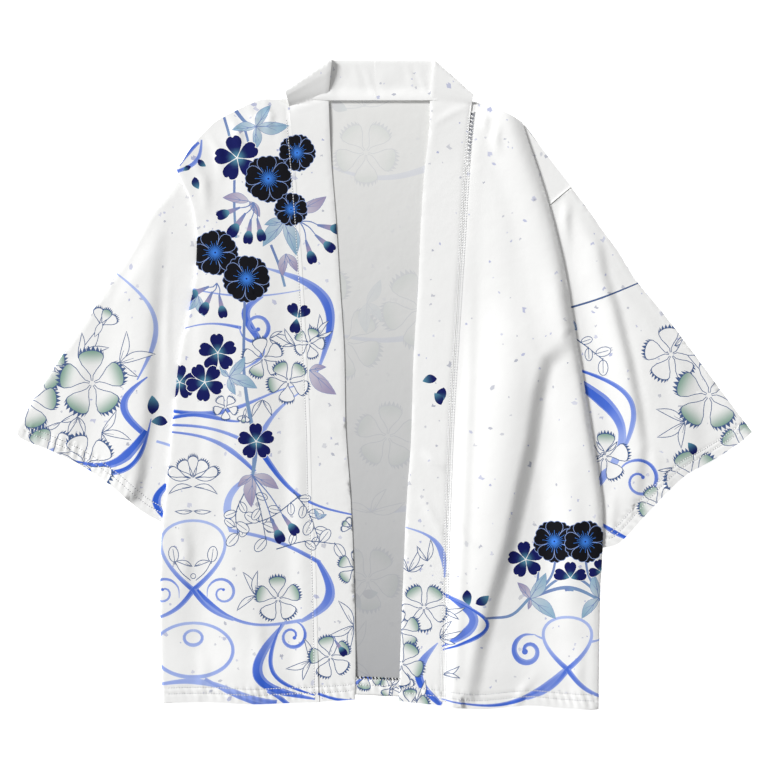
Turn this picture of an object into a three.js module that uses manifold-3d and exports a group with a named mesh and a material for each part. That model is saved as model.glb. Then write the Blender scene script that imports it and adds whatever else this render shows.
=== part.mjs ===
// A kimono jacket laid flat on its back, with its fronts parted and its sleeves spread.
// Units are millimetres. X runs across the garment, Y from hem to neck, Z up from the surface it lies on.
// "Left" and "right" are as seen from above, with the neck at the top.
// Pieces: back, two fronts, two sleeves, and the collar band in two halves sewn at the centre back.
import * as THREE from 'three';
import Module from 'manifold-3d';

// ---------------------------------------------------------------- driving sizes
const CLOTH = 1.2; // wall of one layer of cloth
const BAND = 2.0; // wall of the collar band, which is cloth folded double
const GAP = 0.3; // room between two pieces at a seam
const TURN = 1.2; // radius, at mid wall, of a fold that lies down flat
const EDGE_TURN = 0.75; // radius, at mid wall, of a sleeve's creased edges
const BAND_TURN = 1.25; // radius, at mid wall, of the fold in the collar band

const BACK_LEVEL = CLOTH / 2; // mid wall of what lies on the surface
const FRONT_LEVEL = CLOTH + GAP + CLOTH / 2; // mid wall of what lies on the back
const BAND_LEVEL = CLOTH + GAP + BAND / 2; // mid wall of the band where it lies on the back
const HEM_RISE = [-290, -337]; // from and to, in Y, the cloth climbs over the back's turned-up hem

const NECK_Y = 328.2; // the back's neck edge
const BAND_TOP_Y = 373; // the band's free edge behind the neck
const CENTRE_BACK_X = -10.4; // the seam that joins the two halves of the band

// ---------------------------------------------------------------- outlines, as [x, y] points
const LEFT_EDGE = [
  [-255, -367], [-258, -248], [-256, -168], [-252, -133], [-243, -40], [-235, 33], [-225, 82],
  [-217, 130], [-216, 170], [-222, 208], [-238, 244],
]; // from hem to shoulder tip
const LEFT_ARMHOLE = [
  [-236, 242], [-213, 206], [-207, 170], [-206, 124], [-210, 82], [-217, 33], [-226, -40], [-234, -150],
]; // from shoulder tip to underarm
const LEFT_SIDE = [[-249, -359], [-249, -280], [-243, -200], [-234, -150]]; // from hem to underarm
const LEFT_SHOULDER = [
  [-110.5, 320], [-122, 327], [-143, 327], [-170, 315], [-194, 302], [-212, 284], [-224, 269], [-238, 244],
]; // from band to shoulder tip
const LEFT_HEM = [[-75, -366], [-112, -367], [-152, -368], [-205, -366], [-255, -367]];
const LEFT_BAND_SEAM = [
  [-75, -366], [-77, -267], [-79, -197], [-83, -131], [-85, -48], [-89, 34], [-92, 97], [-97, 179],
  [-100, 217], [-106, 289], [-109, 320],
];
const LEFT_BAND_FREE = [
  [-33, -363], [-33, -300], [-35, -207], [-39, -124], [-44, -54], [-46, 40], [-51, 117], [-55, 184],
  [-61, 260], [-64, 331],
];
const LEFT_BAND_FOLD = [[-115, 338], [-61, 375]]; // outer and free end of the line the band folds on
const LEFT_SLEEVE_TOP = [
  [-246, 222], [-266, 199], [-291, 154], [-336, 85], [-367, 39], [-397, -7], [-424, -52],
];
const LEFT_CUFF = [[-424, -52], [-419, -63], [-384, -80], [-350, -98], [-315, -118], [-281, -146], [-255, -160]];

const RIGHT_EDGE = [
  [247, -375], [249, -244], [252, -179], [251, -133], [237, -41], [220, 62], [206, 143], [185, 223], [159, 301],
];
const RIGHT_ARMHOLE = [
  [216, 226.4], [200, 212.5], [189, 202.8], [183, 193], [182.5, 165], [187, 143], [195, 62], [208, -41],
  [220, -133], [223, -182],
];
const RIGHT_SIDE = [[241, -361], [242, -290], [236, -230], [223, -182]];
const RIGHT_SHOULDER = [[102.5, 322], [118, 321], [133, 316], [159, 301]]; // from band to the top of the pleat
const RIGHT_TIP = [[159, 301], [185, 267], [216, 227]]; // from the top of the pleat to the shoulder tip
const RIGHT_HEM = [[66, -370], [109, -374], [167, -370], [205, -373], [247, -375]];
const RIGHT_BAND_SEAM = [
  [66, -370], [68, -301], [71, -186], [76, -44], [82, 55], [89, 166], [94, 248], [99, 304], [101, 322],
];
const RIGHT_BAND_FREE = [
  [17, -365], [20, -277], [26, -136], [31, -66], [34, 30], [39, 107], [43, 194], [47, 250], [52, 293], [53, 327],
];
const RIGHT_BAND_FOLD = [[104, 333], [58, 374]];
const RIGHT_SLEEVE_TOP = [
  [236, 200], [252, 177], [269, 154], [290, 120], [319, 85], [354, 39], [388, -7], [424, -55],
];
const RIGHT_CUFF = [[424, -55], [409, -72], [375, -99], [346, -108], [306, -147], [271, -183], [252, -189]];

const BACK_SHOULDERS = [
  [-238, 244], [-224, 269], [-212, 284], [-194, 302], [-170, 315], [-143, 325], [-122, NECK_Y], [-90, NECK_Y],
  [0, NECK_Y], [80, NECK_Y], [100, 326], [133, 316], [159, 301], [185, 267], [216, 227],
]; // from the left tip to the right tip
const BACK_HEM = [[-249, -359], [-32, -358], [17, -360], [241, -361]];

// ---------------------------------------------------------------- folds under the fronts' edges, and creases
// Each row is [y, depth]: a narrow allowance at the side seam, and at the armhole the sleeve's tuck.
const LEFT_TUCK = [[-367, 6], [-230, 7], [-165, 15], [-133, 17], [-40, 14], [82, 10], [159, 6], [244, 2.5]];
const RIGHT_TUCK = [
  [-375, 6], [-260, 8], [-215, 18], [-182, 25], [-133, 27], [-41, 25], [62, 21], [143, 14], [200, 4.5], [301, 3],
];
// Each row is [y, lift]: the fold rides over the sleeve's cloth from the underarm up.
const LEFT_FOLD_LIFT = [[-222, 0], [-172, CLOTH + GAP]];
const RIGHT_FOLD_LIFT = [[-250, 0], [-202, CLOTH + GAP]];

// A crease has a path, the rise at each of its points, and its width on the left and right of the path,
// looking along it. A swell is a broad crease.
const LEFT_FRONT_CREASES = [
  { path: [[-150, 270], [-165, 60], [-170, -150], [-160, -350]], rise: [2, 3, 3.5, 2], left: 75, right: 60 },
  { path: [[-214, 90], [-196, -60], [-205, -230]], rise: [0, 1.5, 0], left: 18, right: 18 },
  { path: [[-108, 60], [-100, -120], [-92, -340]], rise: [0, 1.6, 1], left: 16, right: 16 },
];
const RIGHT_FRONT_CREASES = [
  { path: [[135, 285], [150, 120], [125, -120], [110, -345]], rise: [2.5, 4, 3.5, 2], left: 60, right: 60 },
  {
    path: [
      [202, 48], [178, 30], [171, -20], [168, -60], [158, -100], [151, -165], [138, -215], [121, -290], [96, -345],
    ],
    rise: [3, 9, 12, 12, 11, 11, 9, 5, 0],
    left: 15,
    right: 32,
  },
  { path: [[192, 190], [206, 100], [220, 10]], rise: [0, 3, 0], left: 22, right: 26 },
  { path: [[205, -70], [214, -180], [210, -330]], rise: [0, 4, 1], left: 26, right: 30 },
];
const LEFT_SLEEVE_CREASES = [
  { path: [[-262, 160], [-300, 40], [-318, -70]], rise: [0.5, 2.4, 1.5], left: 60, right: 70 },
  { path: [[-250, 190], [-264, 90], [-270, 10], [-268, -110]], rise: [0, 2.4, 1.6, 2], left: 16, right: 14 },
  { path: [[-330, 60], [-352, 10], [-366, -60]], rise: [0, 1.5, 0.8], left: 22, right: 22 },
];
const RIGHT_SLEEVE_CREASES = [
  { path: [[262, 150], [310, 20], [330, -80]], rise: [0.5, 2.4, 1.5], left: 70, right: 60 },
  {
    path: [[238, 176], [256, 118], [277, 54], [288, 0], [292, -50], [286, -105], [280, -150]],
    rise: [2, 4.5, 6, 6, 5, 3.5, 1],
    left: 16,
    right: 30,
  },
  { path: [[330, 60], [346, 0], [352, -70]], rise: [0, 2, 1], left: 22, right: 26 },
];

// ---------------------------------------------------------------- colours
const WHITE = '#f4f6f8';
const INSIDE = '#dcdde0';

// ---------------------------------------------------------------- small tools
const smooth = (from, to, value) => {
  const t = THREE.MathUtils.clamp((value - from) / (to - from), 0, 1);
  return t * t * (3 - 2 * t);
};

// The value at a key in rows of [key, value], straight between rows and level beyond them.
function lookUp(rows, key) {
  if (key <= rows[0][0]) {
    return rows[0][1];
  }
  const next = rows.findIndex((row) => row[0] >= key);
  if (next < 0) {
    return rows[rows.length - 1][1];
  }
  const [a, b] = [rows[next - 1], rows[next]];
  return a[1] + ((b[1] - a[1]) * (key - a[0])) / (b[0] - a[0]);
}

// A smooth curve through points, as a function of 0 to 1 along its length.
function curveThrough(points) {
  const last = points.length - 1;
  const reach = [0];
  for (let i = 1; i <= last; i += 1) {
    reach.push(reach[i - 1] + Math.hypot(points[i][0] - points[i - 1][0], points[i][1] - points[i - 1][1]));
  }
  const slopes = points.map((point, i) => {
    const a = Math.max(i - 1, 0);
    const b = Math.min(i + 1, last);
    return [0, 1].map((axis) => (points[b][axis] - points[a][axis]) / (reach[b] - reach[a]));
  });
  return (t) => {
    const s = THREE.MathUtils.clamp(t, 0, 1) * reach[last];
    let i = 0;
    while (i < last - 1 && reach[i + 1] < s) {
      i += 1;
    }
    const span = reach[i + 1] - reach[i];
    const h = (s - reach[i]) / span;
    const far = h * h * (3 - 2 * h);
    const leave = h * (1 - h) * (1 - h) * span;
    const arrive = -h * h * (1 - h) * span;
    return [0, 1].map((axis) => {
      const level = points[i][axis] * (1 - far) + points[i + 1][axis] * far;
      return level + slopes[i][axis] * leave + slopes[i + 1][axis] * arrive;
    });
  };
}

const sampled = (points, steps) => steps.map(curveThrough(points));
const evenSteps = (count) => Array.from({ length: count + 1 }, (_, i) => i / count);

// Moves a line of points sideways, to the left of its direction for a positive distance.
function offsetLine(line, distance) {
  return line.map((point, i) => {
    const a = line[Math.max(i - 1, 0)];
    const b = line[Math.min(i + 1, line.length - 1)];
    const length = Math.hypot(b[0] - a[0], b[1] - a[1]);
    return [point[0] - ((b[1] - a[1]) / length) * distance, point[1] + ((b[0] - a[0]) / length) * distance];
  });
}

// Fills four sides with a grid of points: grid[i][j] lies on near[i] at j = 0 and on far[i] at the last j.
// The first and last sides are shifted to meet the ends of near and far.
function fillSides(near, far, first, last, across, up) {
  const end = across.length - 1;
  const top = up.length - 1;
  return up.map((v, i) =>
    across.map((u, j) =>
      [0, 1].map((axis) => {
        const start = first[j][axis] - (1 - u) * first[0][axis] - u * first[end][axis];
        const finish = last[j][axis] - (1 - u) * last[0][axis] - u * last[end][axis];
        return (1 - u) * near[i][axis] + u * far[i][axis] + (1 - v) * start + v * finish;
      }),
    ),
  );
}

// How high the creases lift the cloth at a place.
function creaseHeight(creases, x, y) {
  let height = 0;
  for (const crease of creases) {
    let best = null;
    for (let i = 0; i + 1 < crease.path.length; i += 1) {
      const [a, b] = [crease.path[i], crease.path[i + 1]];
      const [dx, dy] = [b[0] - a[0], b[1] - a[1]];
      const t = THREE.MathUtils.clamp(((x - a[0]) * dx + (y - a[1]) * dy) / (dx * dx + dy * dy), 0, 1);
      const away = Math.hypot(x - a[0] - t * dx, y - a[1] - t * dy);
      if (!best || away < best.away) {
        const side = dx * (y - a[1]) - dy * (x - a[0]);
        best = {
          away,
          width: side > 0 ? crease.left : crease.right,
          rise: crease.rise[i] * (1 - t) + crease.rise[i + 1] * t,
        };
      }
    }
    const reach = Math.min(best.away / best.width, 1);
    height += best.rise * Math.cos((reach * Math.PI) / 2) ** 2;
  }
  return height;
}

const hemLift = (y) => smooth(HEM_RISE[0], HEM_RISE[1], y);

// Gives a grid of mid-wall points its thickness and closes it into one body. wall(i, j) is [above, below],
// measured from mid wall, where above is the side that faces up at grid[upRow][upColumn]. A tube's rows close
// on themselves.
function clothBody(grid, { wall, tube = false, upRow, upColumn }) {
  const rows = grid.length;
  const columns = grid[0].length;
  const at = (i, j) => {
    const column = tube ? (j + columns) % columns : THREE.MathUtils.clamp(j, 0, columns - 1);
    return grid[THREE.MathUtils.clamp(i, 0, rows - 1)][column];
  };
  const normal = (i, j) => {
    const across = at(i, j + 1).clone().sub(at(i, j - 1));
    const along = at(i + 1, j).clone().sub(at(i - 1, j));
    return across.cross(along).normalize();
  };
  const facing = Math.sign(normal(upRow, upColumn).z);
  const positions = [];
  for (const side of [0, 1]) {
    for (let i = 0; i < rows; i += 1) {
      for (let j = 0; j < columns; j += 1) {
        const offset = wall(i, j)[side] * (side === 0 ? facing : -facing);
        positions.push(...grid[i][j].clone().addScaledVector(normal(i, j), offset).toArray());
      }
    }
  }
  const index = [];
  const count = rows * columns;
  const quad = (a, b, c, d) => index.push(a, b, c, a, c, d);
  const id = (i, j) => i * columns + (j % columns);
  const lastColumn = tube ? columns : columns - 1;
  for (let i = 0; i + 1 < rows; i += 1) {
    for (let j = 0; j < lastColumn; j += 1) {
      const [a, b, c, d] = [id(i, j), id(i, j + 1), id(i + 1, j + 1), id(i + 1, j)];
      quad(a, b, c, d);
      quad(d + count, c + count, b + count, a + count);
    }
  }
  const rim = (a, b) => quad(b, a, a + count, b + count);
  for (let j = 0; j < lastColumn; j += 1) {
    rim(id(0, j), id(0, j + 1));
    rim(id(rows - 1, j + 1), id(rows - 1, j));
  }
  if (!tube) {
    for (let i = 0; i + 1 < rows; i += 1) {
      rim(id(i + 1, 0), id(i, 0));
      rim(id(i, columns - 1), id(i + 1, columns - 1));
    }
  }
  if (facing < 0) {
    index.reverse();
  }
  const geometry = new THREE.BufferGeometry();
  geometry.setAttribute('position', new THREE.Float32BufferAttribute(positions, 3));
  geometry.setIndex(index);
  return geometry;
}

// ---------------------------------------------------------------- pieces
const FRONT_ROWS = 30;
const HEM_SHARE = 0.0285; // share of a front's length that its turned-up hem takes, about 20 mm
const STEP_SHARE = 0.0006; // half the height, as a share, of the step at the top of a turned-up hem
const NOTCH_ROW = 25;
const NOTCH_SHARE = 0.8445; // share of a front's length from the hem to where the pleat meets the sleeve's seam
const frontSteps = [
  0,
  HEM_SHARE - STEP_SHARE,
  HEM_SHARE + STEP_SHARE,
  ...evenSteps(FRONT_ROWS).map((step, i) => (i === NOTCH_ROW ? NOTCH_SHARE : step)).slice(2),
];
const ARMHOLE_STEPS = [0, 0.045, 0.085, 0.12, 0.17, 0.26, 0.38, 0.52, 0.66, 0.8, 0.9, 1];
const SIDE_STEPS = [0, 0.094, 0.1, 0.36, 0.68, 1];

const FOLD_SEGMENTS = 4; // flats round a folded edge
const TUCK_COLUMNS = 2;
const CLEAR_OF_TUCK = 3;
const SETTLE = 45; // how far from a raised fold the cloth takes to lie down
const EDGE_FADE = 14; // how far from an edge a crease comes to its full height

// One front: flat from the band to its outer edge, where it folds under and runs back to its seam.
function frontRows({ seam, edge, hem, shoulder, tuck, foldLift, creases, columns }) {
  const across = evenSteps(columns);
  const plan = fillSides(seam, edge, sampled(hem, across), sampled(shoulder, across), across, frontSteps);
  return plan.map((row) => {
    const rim = row[columns];
    const before = row[columns - 1];
    const span = Math.hypot(rim[0] - before[0], rim[1] - before[1]);
    const out = [(rim[0] - before[0]) / span, (rim[1] - before[1]) / span];
    const inset = TURN + CLOTH / 2;
    const low = FRONT_LEVEL + lookUp(foldLift, rim[1]) + hemLift(rim[1]) * (CLOTH / 2 + GAP * 2);
    const depth = lookUp(tuck, rim[1]);
    const centre = [rim[0] - out[0] * inset, rim[1] - out[1] * inset];
    const points = row.map(([x, y], j) => {
      const px = x - out[0] * inset * across[j];
      const py = y - out[1] * inset * across[j];
      const fromEdge = Math.hypot(px - centre[0], py - centre[1]);
      const fromSeam = Math.hypot(px - row[0][0], py - row[0][1]);
      const rest = FRONT_LEVEL + hemLift(py) * CLOTH * 2;
      const raised = 1 - smooth(depth + CLEAR_OF_TUCK, depth + SETTLE, fromEdge);
      const fade = smooth(0, EDGE_FADE, fromEdge) * smooth(0, EDGE_FADE, fromSeam);
      const level = rest * (1 - raised) + (low + TURN * 2) * raised;
      return new THREE.Vector3(px, py, level + creaseHeight(creases, px, py) * fade);
    });
    for (let k = 1; k <= FOLD_SEGMENTS; k += 1) {
      const angle = Math.PI / 2 - (k * Math.PI) / FOLD_SEGMENTS;
      const reach = TURN * Math.cos(angle);
      const level = low + TURN * (1 + Math.sin(angle));
      points.push(new THREE.Vector3(centre[0] + out[0] * reach, centre[1] + out[1] * reach, level));
    }
    for (let k = 1; k <= TUCK_COLUMNS; k += 1) {
      const reach = (depth * k) / TUCK_COLUMNS;
      points.push(new THREE.Vector3(centre[0] - out[0] * reach, centre[1] - out[1] * reach, low));
    }
    return { points, out, depth, centre, low };
  });
}

// Below the top of the hem the cloth is double, except where the front folds under.
const frontWall = (columns) => (i, j) => [CLOTH / 2, i <= 1 && j < columns - 3 ? CLOTH * 1.5 : CLOTH / 2];

const frontBody = (rows, columns) =>
  clothBody(rows.map((row) => row.points), { wall: frontWall(columns), upRow: 5, upColumn: 2 });

const FLAP_CORNER = [216, 227.2]; // the shoulder tip, a seam's room above the sleeve
const FLAP_OVERLAP = 1.6; // how far the flap starts inside the pleat that it joins
const FLAP_COLUMNS = 5;
const FLAP_WALL = CLOTH / 2 - 0.05; // half the flap's wall, a shade thinner than the pleat's that it joins

// The part of the right front beyond the pleat, from the pleat's hidden inner fold out to the shoulder tip.
function shoulderFlap(rows) {
  const used = rows.slice(NOTCH_ROW + 1);
  const rim = sampled([...RIGHT_TIP].reverse(), evenSteps(used.length - 1));
  rim[0] = FLAP_CORNER;
  const inner = EDGE_TURN;
  return used.map(({ out, depth, centre, low }, i) => {
    const fold = [centre[0] - out[0] * depth, centre[1] - out[1] * depth];
    const points = [new THREE.Vector3(fold[0] + out[0] * FLAP_OVERLAP, fold[1] + out[1] * FLAP_OVERLAP, low)];
    for (let k = 0; k <= FOLD_SEGMENTS; k += 1) {
      const angle = (k * Math.PI) / FOLD_SEGMENTS;
      const reach = inner * Math.sin(angle);
      points.push(
        new THREE.Vector3(fold[0] - out[0] * reach, fold[1] - out[1] * reach, low - inner * (1 - Math.cos(angle))),
      );
    }
    for (let k = 1; k <= FLAP_COLUMNS; k += 1) {
      const t = k / FLAP_COLUMNS;
      const [x, y] = [fold[0] + (rim[i][0] - fold[0]) * t, fold[1] + (rim[i][1] - fold[1]) * t];
      points.push(new THREE.Vector3(x, y, low - inner * 2));
    }
    return points;
  });
}

const BAND_COLUMNS = 4;
const BAND_CLIMB = [255, 312]; // from and to, in Y, the band rises to go over its own neck part
const OPEN_EDGE_LIFT = 1.4; // how high the band's free edge stands off the back
const OPEN_EDGE_SETTLE = [230, 300]; // from and to, in Y, the free edge comes down again
const BAND_STEPS = [0.35, 0.7]; // rows, as shares, between two sections of the band that are further apart
const NECK_TURN = [0.55, 0.92]; // where the neck part straightens, as shares of X at the fold's two ends
const NECK_EASE = [0.35, 1.5]; // share back towards the fold, and rise, of its seam edge as it straightens

// One half of the band: up the front, folded under on a slant beside the neck, then along the back's neck.
function bandBody({ seam, free, fold, side }) {
  const rows = [];
  const section = (outer, inner, outerZ, innerZ) => {
    rows.push(
      evenSteps(BAND_COLUMNS).map(
        (u) =>
          new THREE.Vector3(
            outer[0] + (inner[0] - outer[0]) * u,
            outer[1] + (inner[1] - outer[1]) * u,
            outerZ + (innerZ - outerZ) * u,
          ),
      ),
    );
  };
  const freeEdge = sampled(free, frontSteps);
  const neckLevel = BAND / 2;
  const overNeck = neckLevel + BAND_TURN * 2;
  seam.forEach((outer, i) => {
    const climb = smooth(...BAND_CLIMB, outer[1]) * (overNeck - BAND_LEVEL);
    const level = BAND_LEVEL + climb + hemLift(outer[1]) * CLOTH;
    const openEdge = OPEN_EDGE_LIFT * (1 - smooth(...OPEN_EDGE_SETTLE, outer[1]));
    section(outer, freeEdge[i], level, level + openEdge);
  });
  const [crownOut, crownIn] = fold;
  const along = [crownIn[0] - crownOut[0], crownIn[1] - crownOut[1]];
  const length = Math.hypot(...along);
  const outward = [(side * along[1]) / length, (-side * along[0]) / length];
  const last = seam.length - 1;
  const inset = BAND_TURN + BAND / 2;
  const moved = (point, reach) => [point[0] + outward[0] * reach, point[1] + outward[1] * reach];
  const centreOut = moved(crownOut, -inset);
  const centreIn = moved(crownIn, -inset);
  const blend = (a, b, t) => [a[0] + (b[0] - a[0]) * t, a[1] + (b[1] - a[1]) * t];
  for (const t of BAND_STEPS) {
    section(blend(seam[last], centreOut, t), blend(freeEdge[last], centreIn, t), overNeck, overNeck);
  }
  for (let k = 0; k <= FOLD_SEGMENTS; k += 1) {
    const angle = Math.PI / 2 - (k * Math.PI) / FOLD_SEGMENTS;
    const reach = BAND_TURN * Math.cos(angle);
    const level = neckLevel + BAND_TURN * (1 + Math.sin(angle));
    section(moved(centreOut, reach), moved(centreIn, reach), level, level);
  }
  const seamY = NECK_Y + GAP;
  const end = CENTRE_BACK_X + (side * GAP) / 2;
  const beside = [crownOut[0] * NECK_TURN[0], crownIn[0] * NECK_TURN[1]];
  const easedOut = [crownOut[0] - (crownOut[0] - beside[0]) * NECK_EASE[0], seamY + NECK_EASE[1]];
  section(easedOut, blend(centreIn, [beside[1], BAND_TOP_Y], 0.5), neckLevel, neckLevel);
  section([beside[0], seamY], [beside[1], BAND_TOP_Y], neckLevel, neckLevel);
  for (const t of [...BAND_STEPS, 1]) {
    section(
      [beside[0] + (end - beside[0]) * t, seamY],
      [beside[1] + (end - beside[1]) * t, BAND_TOP_Y],
      neckLevel,
      neckLevel,
    );
  }
  return clothBody(rows, { wall: () => [BAND / 2, BAND / 2], upRow: 5, upColumn: 2 });
}

// From and to, a sleeve's creases grow to their full height beyond the front's edge, below the top edge and
// above the underarm edge.
const SLEEVE_FADES = { front: [2, 30], top: [0, 26], under: [0, 30] };

// One sleeve: a flattened tube, its lower wall on the surface, its upper wall creased, open at both ends.
function sleeveBody({ armhole, top, cuff, creases, foldLine, rows }) {
  const up = evenSteps(rows);
  const across = ARMHOLE_STEPS;
  const cuffLine = sampled(cuff, across);
  const topLine = [armhole[0], ...top];
  const underLine = [armhole[armhole.length - 1], cuff[cuff.length - 1]];
  const plan = fillSides(sampled(topLine, up), sampled(underLine, up), armhole, cuffLine, across, up);
  const last = across.length - 1;
  const inset = EDGE_TURN + CLOTH / 2;
  const low = BACK_LEVEL;
  const high = low + EDGE_TURN * 2;
  const side = Math.sign(armhole[0][0]);
  const grid = plan.map((row) => {
    const unit = (a, b) => {
      const length = Math.hypot(a[0] - b[0], a[1] - b[1]);
      return [(a[0] - b[0]) / length, (a[1] - b[1]) / length];
    };
    const outs = [unit(row[0], row[1]), unit(row[last], row[last - 1])];
    const ends = [row[0], row[last]].map(([x, y], k) => [x - outs[k][0] * inset, y - outs[k][1] * inset]);
    const line = [ends[0], ...row.slice(1, -1), ends[1]];
    const upper = line.map(([x, y]) => {
      const beyond = side * (x - lookUp(foldLine, y));
      const fromTop = Math.hypot(x - ends[0][0], y - ends[0][1]);
      const fromUnder = Math.hypot(x - ends[1][0], y - ends[1][1]);
      const { front, top: below, under } = SLEEVE_FADES;
      const fade = smooth(...front, beyond) * smooth(...below, fromTop) * smooth(...under, fromUnder);
      return new THREE.Vector3(x, y, high + fade * creaseHeight(creases, x, y));
    });
    const lower = line.map(([x, y]) => new THREE.Vector3(x, y, low)).reverse();
    const turn = (centre, out, from) =>
      [1, 2].map((k) => {
        const angle = from - (from * 2 * k) / 3;
        const reach = EDGE_TURN * Math.cos(angle);
        return new THREE.Vector3(
          centre[0] + out[0] * reach,
          centre[1] + out[1] * reach,
          low + EDGE_TURN * (1 + Math.sin(angle)),
        );
      });
    return [...upper, ...turn(ends[1], outs[1], Math.PI / 2), ...lower, ...turn(ends[0], outs[0], -Math.PI / 2)];
  });
  return clothBody(grid, { wall: () => [CLOTH / 2, CLOTH / 2], tube: true, upRow: 3, upColumn: 4 });
}

const BACK_COLUMNS = 14;

// The back: one flat layer on the surface, with its hem turned up on top.
function backBody(leftArmhole, rightArmhole) {
  const side = (seam, armhole) => [...sampled(seam, SIDE_STEPS), ...[...armhole].reverse().slice(1)];
  const left = side(LEFT_SIDE, leftArmhole);
  const right = side(RIGHT_SIDE, rightArmhole);
  const across = evenSteps(BACK_COLUMNS);
  const up = evenSteps(left.length - 1);
  const plan = fillSides(left, right, sampled(BACK_HEM, across), sampled(BACK_SHOULDERS, across), across, up);
  const grid = plan.map((row) => row.map(([x, y]) => new THREE.Vector3(x, y, BACK_LEVEL)));
  const wall = (i) => [i <= 1 ? CLOTH * 1.5 : CLOTH / 2, CLOTH / 2];
  return clothBody(grid, { wall, upRow: 5, upColumn: 2 });
}

// ---------------------------------------------------------------- the garment
const wasm = await Module();
wasm.setup();

function solidOf(geometry) {
  return new wasm.Manifold(
    new wasm.Mesh({
      numProp: 3,
      vertProperties: new Float32Array(geometry.attributes.position.array),
      triVerts: new Uint32Array(geometry.index.array),
    }),
  );
}

// Two overlapping bodies as one, without the specks that a join can leave.
function joined(a, b) {
  const parts = solidOf(a).add(solidOf(b)).decompose();
  return parts.reduce((largest, part) => (part.volume() > largest.volume() ? part : largest));
}

function geometryOf(solid) {
  const mesh = solid.getMesh();
  const geometry = new THREE.BufferGeometry();
  geometry.setAttribute('position', new THREE.Float32BufferAttribute(mesh.vertProperties, 3));
  geometry.setIndex(Array.from(mesh.triVerts));
  return geometry;
}

const LEFT_COLUMNS = 14;
const RIGHT_COLUMNS = 22;
const LEFT_SLEEVE_ROWS = 15;
const RIGHT_SLEEVE_ROWS = 18;
const half = GAP / 2;
const leftSeam = sampled(LEFT_BAND_SEAM, frontSteps);
const rightSeam = sampled(RIGHT_BAND_SEAM, frontSteps);
const leftArmhole = sampled(LEFT_ARMHOLE, ARMHOLE_STEPS);
const rightArmhole = sampled(RIGHT_ARMHOLE, ARMHOLE_STEPS);

const leftFront = frontRows({
  seam: offsetLine(leftSeam, half),
  edge: sampled(LEFT_EDGE, frontSteps),
  hem: LEFT_HEM,
  shoulder: LEFT_SHOULDER,
  tuck: LEFT_TUCK,
  foldLift: LEFT_FOLD_LIFT,
  creases: LEFT_FRONT_CREASES,
  columns: LEFT_COLUMNS,
});
const rightFront = frontRows({
  seam: offsetLine(rightSeam, -half),
  edge: sampled(RIGHT_EDGE, frontSteps),
  hem: RIGHT_HEM,
  shoulder: RIGHT_SHOULDER,
  tuck: RIGHT_TUCK,
  foldLift: RIGHT_FOLD_LIFT,
  creases: RIGHT_FRONT_CREASES,
  columns: RIGHT_COLUMNS,
});
const flap = clothBody(shoulderFlap(rightFront), { wall: () => [FLAP_WALL, FLAP_WALL], upRow: 2, upColumn: 8 });

const edgeLine = (rows) => rows.map((row) => [row.centre[1], row.centre[0] + row.out[0] * (TURN + CLOTH / 2)]);

const pieces = {
  back: [backBody(offsetLine(leftArmhole, half), offsetLine(rightArmhole, -half)), INSIDE],
  left_front: [frontBody(leftFront, LEFT_COLUMNS), WHITE],
  right_front: [geometryOf(joined(frontBody(rightFront, RIGHT_COLUMNS), flap)), WHITE],
  left_sleeve: [
    sleeveBody({
      armhole: offsetLine(leftArmhole, -half),
      top: LEFT_SLEEVE_TOP,
      cuff: LEFT_CUFF,
      creases: LEFT_SLEEVE_CREASES,
      foldLine: edgeLine(leftFront),
      rows: LEFT_SLEEVE_ROWS,
    }),
    WHITE,
  ],
  right_sleeve: [
    sleeveBody({
      armhole: offsetLine(rightArmhole, half),
      top: RIGHT_SLEEVE_TOP,
      cuff: RIGHT_CUFF,
      creases: RIGHT_SLEEVE_CREASES,
      foldLine: edgeLine(rightFront),
      rows: RIGHT_SLEEVE_ROWS,
    }),
    WHITE,
  ],
  left_collar_band: [
    bandBody({ seam: offsetLine(leftSeam, -half), free: LEFT_BAND_FREE, fold: LEFT_BAND_FOLD, side: -1 }),
    WHITE,
  ],
  right_collar_band: [
    bandBody({ seam: offsetLine(rightSeam, half), free: RIGHT_BAND_FREE, fold: RIGHT_BAND_FOLD, side: 1 }),
    WHITE,
  ],
};

const jacket = new THREE.Group();
for (const [name, [geometry, color]] of Object.entries(pieces)) {
  const mesh = new THREE.Mesh(geometry, new THREE.MeshStandardMaterial({ color, roughness: 0.85, metalness: 0 }));
  mesh.name = name;
  jacket.add(mesh);
}

// The origin is the middle of the garment's outline, on the surface it lies on.
const box = new THREE.Box3().setFromObject(jacket);
jacket.position.set(-(box.min.x + box.max.x) / 2, -(box.min.y + box.max.y) / 2, 0);

export default jacket;
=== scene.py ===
"""Kimono jacket of printed polyester, laid flat: its cloth, print and sewing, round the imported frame."""

import math

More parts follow.
